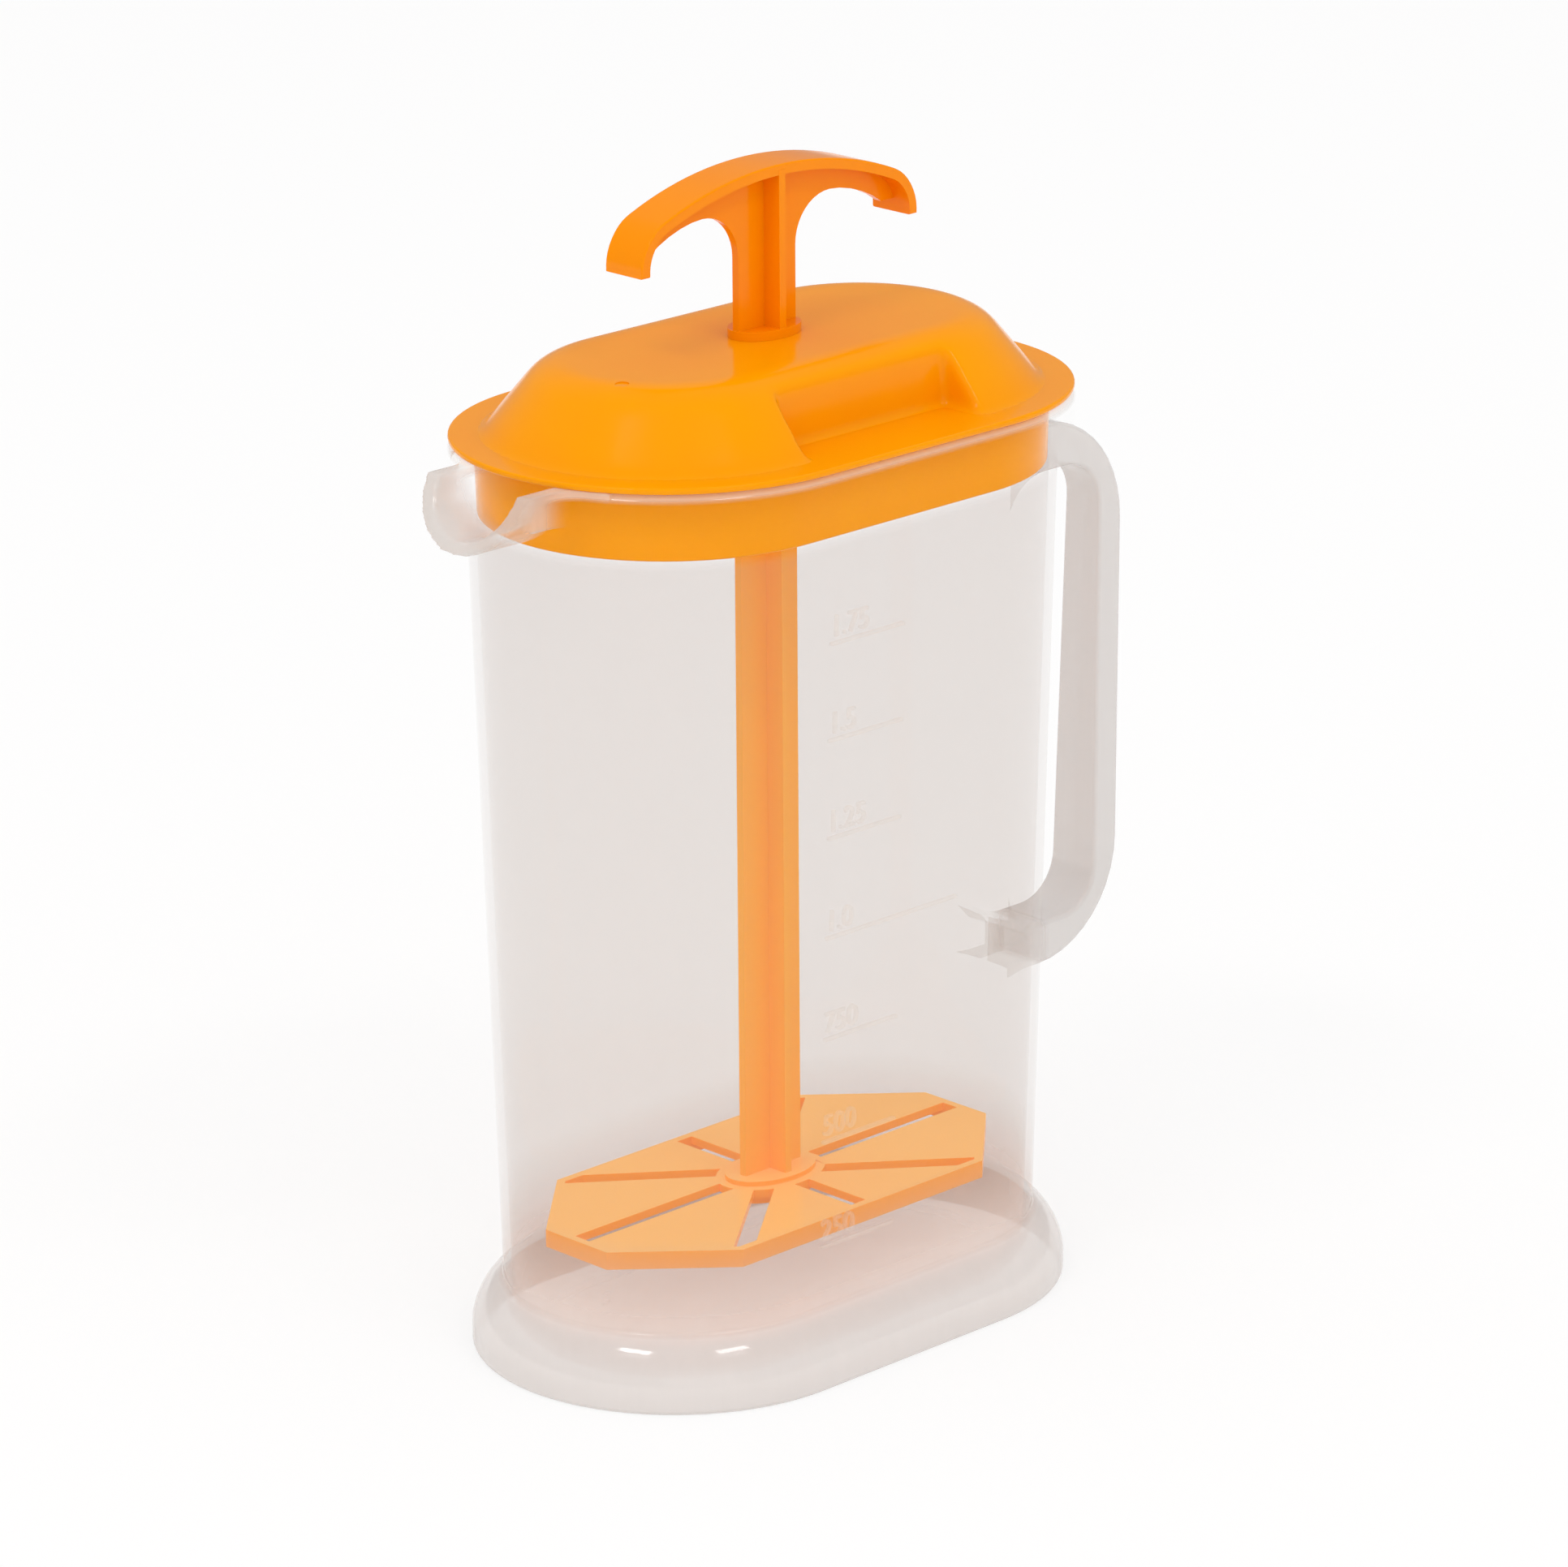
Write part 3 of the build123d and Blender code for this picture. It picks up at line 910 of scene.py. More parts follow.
@dataclass
class JugShell:
    """The jug: wall, floor, hollow foot, rolled rim, spout and loop handle in one moulding."""

    oval: Oval = field(default_factory=Oval)
    wall: float = 2.0
    radius_at_base: float = 40.6
    draft: float = 0.02735
    floor_underside: float = 3.0
    floor_top: float = 5.0
    outer_corner: float = 10.0
    inner_corner: float = 8.0
    rim_top: float = 219.0
    rim_radius: float = 50.4
    rim_height: float = 9.4
    rim_lower_round: float = 3.4
    rim_upper_round: float = 3.2
    rim_crook: float = 0.5
    mouth_round: float = 0.8
    foot_radius: float = 48.6
    foot_wall: float = 2.2
    foot_top: float = 17.2
    foot_curve: float = 14.0
    foot_shoulder: float = 12.75
    foot_crook: float = 1.2
    foot_edge: float = 1.4
    foot_inner_edge: float = 0.55
    foot_inner_rise: float = 2.0
    foot_inner_drop: float = 1.0
    spout_tip: float = 96.6
    spout_lean: float = 0.55
    spout_half_width: float = 16.6
    spout_depth: float = 14.4
    spout_side: float = 4.2
    spout_floor: float = 2.8
    spout_inside: float = 66.0
    channel_inside: float = 65.0
    bowl_steps: int = 32
    spout_flare: float = 8.0
    flare_width: float = 9.4
    flare_inset: float = 0.4
    flare_lap: float = 3.0
    flare_thinner: float = 1.0
    spout_grain: float = 0.55
    spout_melt: int = 10
    handle_reach: float = 113.9
    handle_top: float = 199.4
    handle_bottom: float = 65.0
    handle_round: float = 27.5
    handle_top_width: float = 10.6
    handle_bottom_width: float = 15.3
    handle_edge: float = 1.2
    grip_thickness: float = 7.9
    finger_top: float = 187.5
    finger_bottom: float = 75.4
    finger_round: float = 11.0
    root_round: float = 13.0
    root_depth: float = 5.0
    flange_half_width: float = 8.6
    flange_length: float = 9.0
    flange_thickness: float = 2.4
    flange_spread: float = 1.0
    pocket_bend: tuple[float, float] = (1.0, 1.2)
    pocket_rise: float = 2.0
    root_web: float = 2.4

    def outside(self, height: float) -> float:
        """Radius of the wall's outside at a height."""
        return self.radius_at_base + self.draft * height

    def inside(self, height: float) -> float:
        """Radius of the wall's inside at a height."""
        return self.outside(height) - self.wall

    def wall_middle(self, height: float) -> float:
        """Reach of the middle of the end wall at a height."""
        return self.oval.half_straight + self.outside(height) - self.wall / 2

    def grip_outside(self, height: float) -> float:
        """Reach of the grip's outside at a height."""
        return self.handle_reach + self.draft * (height - self.handle_top + self.handle_round)

    def handle_half_width(self, height: float) -> float:
        """Half the handle's width at a height, which grows evenly towards the bottom."""
        share = (self.handle_top - height) / (self.handle_top - self.handle_bottom)
        return (self.handle_top_width + share * (self.handle_bottom_width - self.handle_top_width)) / 2

    def filled(self) -> bpy.types.Object:
        """Make the outside of the jug as a filled solid.

        Returns:
            The solid, in millimetres.
        """
        under_rim = self.rim_top - self.rim_height
        shoulder = self.foot_radius - self.foot_wall
        inner_top = self.foot_shoulder + self.foot_inner_rise
        inner_curve = self.foot_curve - self.foot_wall - self.foot_inner_rise
        return self.oval.solid(
            [
                Corner(0, self.floor_underside),
                Corner(self.outside(self.floor_underside), self.floor_underside, self.outer_corner),
                Corner(self.outside(inner_top), inner_top),
                Corner(shoulder, self.foot_shoulder - self.foot_inner_drop, inner_curve),
                Corner(shoulder, 0, self.foot_inner_edge),
                Corner(self.foot_radius, 0, self.foot_edge),
                Corner(self.foot_radius, self.foot_shoulder, self.foot_curve),
                Corner(self.outside(self.foot_top), self.foot_top, self.foot_crook),
                Corner(self.outside(under_rim), under_rim, self.rim_crook),
                Corner(self.rim_radius, under_rim, self.rim_lower_round),
                Corner(self.rim_radius, self.rim_top, self.rim_upper_round),
                Corner(0, self.rim_top),
            ],
            "jug_shell",
        )

    def cavity(self) -> bpy.types.Object:
        """Make the space inside the jug, widened at the mouth where the rim is rounded.

        Returns:
            The solid, in millimetres.
        """
        mouth = self.rim_top - self.mouth_round
        over = self.rim_top + self.wall
        return self.oval.solid(
            [
                Corner(0, self.floor_top),
                Corner(self.inside(self.floor_top), self.floor_top, self.inner_corner),
                Corner(self.inside(mouth), mouth, self.mouth_round),
                Corner(self.inside(mouth) + self.mouth_round + self.wall, over),
                Corner(0, over),
            ],
            "cavity",
        )

    def handle(self) -> bpy.types.Object:
        """Make the loop handle, drawn from the side, with its roots inside the wall.

        Returns:
            The solid, in millimetres.
        """
        root_top = self.wall_middle(self.handle_top) - self.root_depth
        root_bottom = self.wall_middle(self.handle_bottom) - self.root_depth
        low_end = self.finger_bottom + 2 * self.root_round
        high_end = self.finger_top - 2 * self.root_round
        grip_bottom = self.grip_outside(self.finger_bottom) - self.grip_thickness
        grip_top = self.grip_outside(self.finger_top) - self.grip_thickness
        corners = [
            Corner(root_top, self.handle_top),
            Corner(self.grip_outside(self.handle_top), self.handle_top, self.handle_round),
            Corner(self.grip_outside(self.handle_bottom), self.handle_bottom, self.handle_round),
            Corner(root_bottom, self.handle_bottom),
            Corner(root_bottom, low_end),
            Corner(self.wall_middle(low_end), low_end),
            Corner(self.wall_middle(self.finger_bottom), self.finger_bottom, self.root_round),
            Corner(grip_bottom, self.finger_bottom, self.finger_round),
            Corner(grip_top, self.finger_top, self.finger_round),
            Corner(self.wall_middle(self.finger_top), self.finger_top, self.root_round),
            Corner(self.wall_middle(high_end), high_end),
            Corner(root_top, high_end),
        ]
        half = self.handle_bottom_width / 2
        handle = prism(View.SIDE, corners, -half, half, self.handle_edge)
        for vert in handle.data.vertices:
            vert.co.y *= self.handle_half_width(vert.co.z) / half
        return handle

    def root_pocket(self, half_width: float) -> bpy.types.Object:
        """Make the pocket between the flanges of the lower root.

        Args:
            half_width: Half its width.

        Returns:
            The solid, in millimetres.
        """
        wall = self.wall_middle(self.finger_bottom)
        root = wall - self.wall
        tip = wall + self.flange_length
        low = self.handle_bottom + self.flange_thickness
        curve = self.root_round + self.flange_thickness
        middle = wall + self.root_round
        at_tip, at_root = (
            self.finger_bottom + self.root_round - sqrt(curve**2 - (middle - place) ** 2)
            for place in (tip, wall)
        )
        back, drop = self.pocket_bend
        corners = [
            Corner(root, low),
            Corner(tip, low),
            Corner(tip, at_tip),
            Corner((wall + tip) / 2 - back, (at_tip + at_root) / 2 - drop),
            Corner(root, at_root + self.pocket_rise),
        ]
        return prism(View.SIDE, corners, -half_width, half_width)

    def root_flanges(self) -> bpy.types.Object:
        """Make the flanges of the lower root, which spread towards the wall.

        Returns:
            The solid, in millimetres.
        """
        wall = self.wall_middle(self.finger_bottom)
        root = wall - 2 * self.wall
        tip = wall + self.flange_length
        half = self.handle_half_width(self.finger_bottom) - self.handle_edge
        spread = self.flange_half_width + self.flange_spread
        plan = [Corner(root, -spread), Corner(tip, -half), Corner(tip, half), Corner(root, spread)]
        flanges = prism(View.PLAN, plan, self.handle_bottom, self.finger_bottom + self.root_round)
        curve = [
            Corner(wall, self.finger_bottom, self.root_round - NEARLY_FULL),
            Corner(tip + FAR_MARGIN, self.finger_bottom),
            Corner(tip + FAR_MARGIN, self.finger_bottom + FAR_MARGIN),
            Corner(wall, self.finger_bottom + FAR_MARGIN),
        ]
        join(flanges, prism(View.SIDE, curve, -FAR_MARGIN, FAR_MARGIN), Joining.CUT)
        return flanges

    def bowl(
        self, half_width: float, depth: float, ends: tuple[float, float], over: float = 0.0
    ) -> bpy.types.Object:
        """Make a bar with a half-elliptic underside and an upright upper part.

        Args:
            half_width: Half its width at the rim's top.
            depth: Depth of its underside below the rim's top.
            ends: Its two ends along the jug.
            over: How far it goes on above the rim's top.

        Returns:
            The solid.
        """
        angles = (pi + pi * step / self.bowl_steps for step in range(self.bowl_steps + 1))
        section = [Corner(half_width * cos(angle), self.rim_top + depth * sin(angle)) for angle in angles]
        if over > 0:
            section += [Corner(half_width, self.rim_top + over), Corner(-half_width, self.rim_top + over)]
        return prism(View.SECTION, section, ends[0], ends[1])

    def channel(self) -> bpy.types.Object:
        """Make the channel of the spout, which also opens the end wall.

        Returns:
            The solid, in millimetres.
        """
        half_width = self.spout_half_width - self.spout_side
        depth = self.spout_depth - self.spout_floor
        ends = (-self.spout_tip - CUT_MARGIN, -self.channel_inside)
        return self.bowl(half_width, depth, ends, 2 * CUT_MARGIN)

    def flare(self) -> bpy.types.Object:
        """Make the near corner where the rim swings out into the spout.

        Returns:
            The solid, in millimetres.
        """
        rim_x = -self.oval.half_straight - sqrt(self.rim_radius**2 - self.spout_half_width**2)
        wide = self.spout_half_width + self.flare_width
        wide_x = -self.oval.half_straight - sqrt(self.rim_radius**2 - wide**2)
        outside = self.spout_half_width - self.flare_inset
        thinner = self.flare_thinner
        corners = [
            Corner(rim_x - self.flare_width, -outside),
            Corner(rim_x, -outside, self.spout_flare),
            Corner(wide_x, -wide),
            Corner(wide_x + self.flare_lap, thinner - wide),
            Corner(rim_x + self.flare_lap, self.spout_side - outside),
            Corner(rim_x - self.flare_width, self.spout_side - outside),
        ]
        return prism(View.PLAN, corners, self.rim_top - self.rim_height + thinner, self.rim_top)

    def spout(self) -> bpy.types.Object:
        """Make the spout: a thick trough with rounded lips, blended into the rim by soft flares.

        Returns:
            The solid, in millimetres.
        """
        ends = (-self.spout_tip, -self.spout_inside)
        spout = self.bowl(self.spout_half_width, self.spout_depth, ends)
        near = self.flare()
        far = near.copy()
        far.data = near.data.copy()
        bpy.context.scene.collection.objects.link(far)
        far.data.transform(Matrix.Scale(-1, 4, Vector((0, 1, 0))))
        far.data.flip_normals()
        join(spout, near, Joining.ADD)
        join(spout, far, Joining.ADD)
        join(spout, self.channel(), Joining.CUT)
        low, over = self.rim_top - self.spout_depth, self.rim_top + CUT_MARGIN
        lean = [
            Corner(-self.spout_tip - CUT_MARGIN, low - CUT_MARGIN / self.spout_lean),
            Corner(self.spout_lean * (self.spout_depth + CUT_MARGIN) - self.spout_tip, over),
            Corner(-self.spout_tip - CUT_MARGIN, over),
        ]
        join(spout, prism(View.SIDE, lean, -FAR_MARGIN, FAR_MARGIN), Joining.CUT)
        melt(spout, self.spout_grain, self.spout_melt)
        return spout

    def make(self) -> bpy.types.Object:
        """Build the whole moulding, in millimetres from the jug's axis.

        Returns:
            The solid, in millimetres.
        """
        handle = self.handle()
        join(handle, self.root_flanges(), Joining.ADD)
        join(handle, self.root_pocket(self.handle_bottom_width), Joining.CUT)
        join(handle, self.root_pocket(self.root_web / 2), Joining.ADD)
        shell = self.filled()
        join(shell, handle, Joining.ADD)
        join(shell, self.channel(), Joining.CUT)
        join(shell, self.spout(), Joining.ADD)
        join(shell, self.cavity(), Joining.CUT)
        return shell


@dataclass
class Graduations:
    """Raised lines and numbers on the near side, one line for each quarter litre."""

    jug: JugShell
    step_volume: float = 250000.0
    first: float = 32.1
    labels: tuple[str, ...] = ("250", "500", "750", "1.0", "1.25", "1.5", "1.75")
    left: float = -24.5
    short_end: float = -1.0
    long_end: float = 18.0
    long_label: str = "1.0"
    line_width: float = 0.8
    line_round: float = 0.36
    proud: float = 0.35
    sunk: float = 0.5
    figure_height: float = 7.2
    figure_gap: float = 1.6
    figure_bolder: float = 0.02

    def heights(self) -> list[float]:
        """Height of each line, where the jug holds its volume.

        Returns:
            The heights, from the lowest line up.
        """
        height = self.first
        found = []
        for _ in self.labels:
            found.append(height)
            radius = self.jug.inside(height)
            height += self.step_volume / (pi * radius**2 + 4 * self.jug.oval.half_straight * radius)
        return found

    def onto_wall(self, height: float) -> Matrix:
        """Placing that stands a flat drawing on the near wall at a height."""
        lean = Matrix.Rotation(pi / 2 + atan(self.jug.draft), 4, "X")
        return Matrix.Translation((self.left, -self.jug.outside(height), height)) @ lean

    def line(self, label: str) -> bmesh.types.BMesh:
        """Draw one raised line, flat and from its left end.

        Args:
            label: Number that stands above it.

        Returns:
            The line as a closed mesh.
        """
        end = self.long_end if label == self.long_label else self.short_end
        half = self.line_width / 2
        mesh = draw(
            View.PLAN,
            [
                Corner(0, -half, self.line_round),
                Corner(end - self.left, -half, self.line_round),
                Corner(end - self.left, half, self.line_round),
                Corner(0, half, self.line_round),
            ],
            -self.sunk,
        )
        thicken(mesh, Vector((0, 0, self.sunk + self.proud)))
        return mesh

    def figures(self, label: str) -> bmesh.types.BMesh:
        """Draw the number above a line, flat and from its left end.

        Args:
            label: The number.

        Returns:
            The number as a closed mesh.
        """
        curve = bpy.data.curves.new("figures", "FONT")
        curve.body = label
        curve.size = self.figure_height
        curve.extrude = (self.sunk + self.proud) / 2
        curve.offset = self.figure_bolder
        holder = bpy.data.objects.new("figures", curve)
        bpy.context.scene.collection.objects.link(holder)
        depsgraph = bpy.context.evaluated_depsgraph_get()
        flat = bpy.data.meshes.new_from_object(holder.evaluated_get(depsgraph), depsgraph=depsgraph)
        mesh = bmesh.new()
        mesh.from_mesh(flat)
        bmesh.ops.remove_doubles(mesh, verts=mesh.verts[:], dist=TOUCH)
        bmesh.ops.translate(mesh, verts=mesh.verts[:], vec=(0, self.figure_gap, (self.proud - self.sunk) / 2))
        bpy.data.objects.remove(holder)
        bpy.data.curves.remove(curve)
        bpy.data.meshes.remove(flat)
        return mesh

    def make(self) -> bpy.types.Object:
        """Build all lines and numbers as one piece.

        Returns:
            The piece, in millimetres.
        """
        whole = bmesh.new()
        for label, height in zip(self.labels, self.heights()):
            for mark in (self.line(label), self.figures(label)):
                bmesh.ops.transform(mark, matrix=self.onto_wall(height), verts=mark.verts[:])
                placed = bpy.data.meshes.new("mark")
                mark.to_mesh(placed)
                mark.free()
                whole.from_mesh(placed)
                bpy.data.meshes.remove(placed)
        return as_solid(whole, "graduations")


@dataclass
class LidShell:
    """The lid: flange, raised dome with a finger notch on each long side, and the skirt in the mouth."""

    jug: JugShell
    flange_radius: float = 50.0
    flange_thickness: float = 1.5
    flange_edge: float = 0.6
    dome_radius: float = 42.4
    dome_crook: float = 1.6
    plateau_radius: float = 28.7
    plateau_height: float = 16.6
    plateau_round: float = 10.5
    wall: float = 1.8
    skirt_bottom: float = 202.0
    skirt_clearance: float = 0.35
    skirt_edge: float = 0.5
    notch_half_length: float = 27.3
    notch_back: float = 30.5
    shelf: float = 1.1
    shelf_radius: float = 46.0
    dome_grain: float = 0.9
    dome_melt: int = 14
    blade_half_width: float = 9.05
    rib_half_width: float = 6.1
    stem_thickness: float = 2.0
    stem_clearance: float = 0.3
    gate: tuple[float, float] = (-53.0, -9.0)
    gate_radius: float = 1.6
    gate_depth: float = 0.35
    gate_steps: int = 24

    def levels(self) -> tuple[float, float]:
        """Heights of the flange's top and of the plateau."""
        brim = self.jug.rim_top + self.flange_thickness
        return brim, brim + self.plateau_height

    def skirt_outside(self, height: float) -> float:
        """Radius of the skirt's outside at a height, carried on through the seat."""
        return self.jug.inside(height) - self.skirt_clearance

    def outside(self) -> bpy.types.Object:
        """Make the flange and the skirt as a filled solid.

        Returns:
            The solid, in millimetres.
        """
        brim = self.levels()[0]
        seat = self.jug.rim_top
        return self.jug.oval.solid(
            [
                Corner(0, self.skirt_bottom),
                Corner(self.skirt_outside(self.skirt_bottom), self.skirt_bottom, self.skirt_edge),
                Corner(self.skirt_outside(seat), seat),
                Corner(self.flange_radius, seat, self.flange_edge),
                Corner(self.flange_radius, brim, self.flange_edge),
                Corner(0, brim),
            ],
            "lid_shell",
        )

    def dome(self) -> bpy.types.Object:
        """Make the dome with its finger notches, blended softly as the mould does it.

        Returns:
            The solid, in millimetres.
        """
        brim, plateau = self.levels()
        foot = brim - SKIN_DEPTH
        dome = self.jug.oval.solid(
            [
                Corner(0, brim - self.shelf),
                Corner(self.shelf_radius, brim - self.shelf),
                Corner(self.shelf_radius, foot),
                Corner(self.dome_radius, foot, self.dome_crook),
                Corner(self.plateau_radius, plateau, self.plateau_round),
                Corner(0, plateau),
            ],
            "dome",
        )
        for side in (-1, 1):
            join(dome, self.notch(side, low=foot), Joining.CUT)
        melt(dome, self.dome_grain, self.dome_melt)
        gate = ellipse(self.gate_radius, self.gate_radius, self.gate, self.gate_steps)
        dimple = prism(View.PLAN, gate, plateau - self.gate_depth, plateau + CUT_MARGIN)
        join(dome, dimple, Joining.CUT)
        return dome

    def hollow(self) -> bpy.types.Object:
        """Make the space under the lid, kept clear of the walls round the notches.

        Returns:
            The solid, in millimetres.
        """
        brim, plateau = self.levels()
        slope = self.plateau_height / (self.dome_radius - self.plateau_radius)
        drop = self.wall * sqrt(1 + slope**2)
        skirt = self.skirt_outside(self.skirt_bottom) - self.wall
        dome = self.skirt_outside(self.jug.rim_top) - self.wall
        hollow = self.jug.oval.solid(
            [
                Corner(0, self.skirt_bottom - CUT_MARGIN),
                Corner(skirt, self.skirt_bottom - CUT_MARGIN),
                Corner(skirt, self.skirt_bottom),
                Corner(dome, brim + (self.dome_radius - dome) * slope - drop),
                Corner(
                    self.plateau_radius + (self.wall - drop) / slope,
                    plateau - self.wall,
                    self.plateau_round - self.wall,
                ),
                Corner(0, plateau - self.wall),
            ],
            "hollow",
        )
        for side in (-1, 1):
            join(hollow, self.notch(side, self.wall), Joining.CUT)
        return hollow

    def notch(self, side: int, margin: float = 0.0, low: float | None = None) -> bpy.types.Object:
        """Make the block that cuts a finger notch.

        Args:
            side: -1 on the near side, 1 on the far side.
            margin: How much larger it is on every side.
            low: Height of its floor, or None for the flange's top less the margin.

        Returns:
            The block.
        """
        brim, plateau = self.levels()
        half = self.notch_half_length + margin
        back = side * (self.notch_back - margin)
        front = side * (self.flange_radius + CUT_MARGIN)
        plan = [Corner(-half, back), Corner(half, back), Corner(half, front), Corner(-half, front)]
        return prism(View.PLAN, plan, brim - margin if low is None else low, plateau + CUT_MARGIN)

    def stem_hole(self) -> list[bpy.types.Object]:
        """Make the two blocks that cut the cross-shaped hole for the stem.

        Returns:
            The blocks.
        """
        half = self.stem_thickness / 2 + self.stem_clearance
        over = self.levels()[1] + CUT_MARGIN
        blocks = []
        for across, up in ((self.blade_half_width, None), (None, self.rib_half_width)):
            reach_x = half if across is None else across + self.stem_clearance
            reach_y = half if up is None else up + self.stem_clearance
            blocks.append(prism(View.PLAN, rectangle(reach_x, reach_y), self.skirt_bottom, over))
        return blocks

    def make(self) -> bpy.types.Object:
        """Build the lid, in millimetres from the jug's axis.

        Returns:
            The solid, in millimetres.
        """
        lid = self.outside()
        join(lid, self.dome(), Joining.ADD)
        join(lid, self.hollow(), Joining.CUT)
        for block in self.stem_hole():
            join(lid, block, Joining.CUT)
        return lid


@dataclass
class Plunger:
    """The plunger: bowed grip on a web, the cross-shaped stem and the collar that stops on the lid."""

    lid: LidShell
    apex: float = 277.3
    arc: float = 95.0
    arc_steps: int = 24
    arc_stop: float = 0.66
    half_length: float = 43.6
    end: float = 258.3
    corner: float = 11.0
    strap_thickness: float = 2.5
    strap_width: float = 12.0
    web: float = 2.0
    arch_round: float = 11.0
    arch_crown: float = 267.2
    arch_end_x: float = 36.7
    arch_end: float = 261.5
    arch_sweep: float = 26.8
    arch_bend_x: float = 29.36
    collar_thickness: float = 2.1
    collar_lap: float = 0.4
    stem_bottom: float = 30.0
    edge: float = 0.45

    def bow(self, inset: float, end: float) -> list[Corner]:
        """Outline of the bowed grip, drawn in by an inset, down to a straight end.

        Args:
            inset: How far inside the strap's outside it lies.
            end: Height of its straight end.

        Returns:
            The corners.
        """
        half = self.half_length - inset
        radius = self.arc - inset
        crown = self.apex - inset
        corner = self.corner - inset
        reach = half - self.arc_stop * corner
        places = [reach * (2 * step / self.arc_steps - 1) for step in range(self.arc_steps + 1)]
        arc = [Corner(across, crown - arc_height(radius, abs(across))) for across in places]
        shoulder = crown - arc_height(radius, half)
        return [
            Corner(-half, shoulder, corner),
            *arc,
            Corner(half, shoulder, corner),
            Corner(half, end),
            Corner(-half, end),
        ]

    def make(self) -> bpy.types.Object:
        """Build the plunger, in millimetres from the jug's axis.

        Returns:
            The solid, in millimetres.
        """
        half_strap = self.strap_width / 2
        grip = prism(View.SIDE, self.bow(0, self.end), -half_strap, half_strap, self.edge)
        inner = self.bow(self.strap_thickness, self.end - CUT_MARGIN)
        reach = half_strap + CUT_MARGIN
        join(grip, prism(View.SIDE, inner, -reach, reach), Joining.CUT)
        start = self.arch_crown - self.arch_round
        web = prism(View.SIDE, self.bow(self.strap_thickness / 2, start), -self.web / 2, self.web / 2)
        for side in (-1, 1):
            join(web, self.arch(side), Joining.CUT)
        join(grip, web, Joining.ADD)
        for block in self.stem():
            join(grip, block, Joining.ADD)
        join(grip, self.collar(), Joining.ADD)
        soften(grip, self.edge)
        grip.name = "plunger_frame"
        return grip

    def arch(self, side: int) -> bpy.types.Object:
        """Make the block that cuts the finger arch on one side of the stem.

        Args:
            side: -1 on the spout's side, 1 on the handle's side.

        Returns:
            The solid, in millimetres.
        """
        blade = self.lid.blade_half_width
        start = self.arch_crown - 2 * self.arch_round
        past_end = self.half_length + CUT_MARGIN
        corners = [
            Corner(side * blade, start),
            Corner(side * blade, self.arch_crown, self.arch_round - NEARLY_FULL),
            Corner(side * self.arch_bend_x, self.arch_crown, self.arch_sweep),
            Corner(side * self.arch_end_x, self.arch_end),
            Corner(side * past_end, self.arch_end),
            Corner(side * past_end, start),
        ]
        return prism(View.SIDE, corners, -2 * CUT_MARGIN, 2 * CUT_MARGIN)

    def stem(self) -> list[bpy.types.Object]:
        """Make the blade and the rib of the stem.

        Returns:
            The blade and the rib.
        """
        half = self.lid.stem_thickness / 2
        blade = rectangle(self.lid.blade_half_width, half)
        rib = rectangle(half, self.lid.rib_half_width)
        rib_top = self.apex - self.strap_thickness / 2
        return [
            prism(View.PLAN, blade, self.stem_bottom, self.arch_crown),
            prism(View.PLAN, rib, self.stem_bottom, rib_top),
        ]

    def collar(self) -> bpy.types.Object:
        """Make the oval collar that stops on the lid.

        Returns:
            The solid, in millimetres.
        """
        lap = self.lid.stem_clearance + self.collar_lap
        low = self.lid.levels()[1]
        outline = ellipse(self.lid.blade_half_width + lap, self.lid.rib_half_width + lap)
        return prism(View.PLAN, outline, low, low + self.collar_thickness)


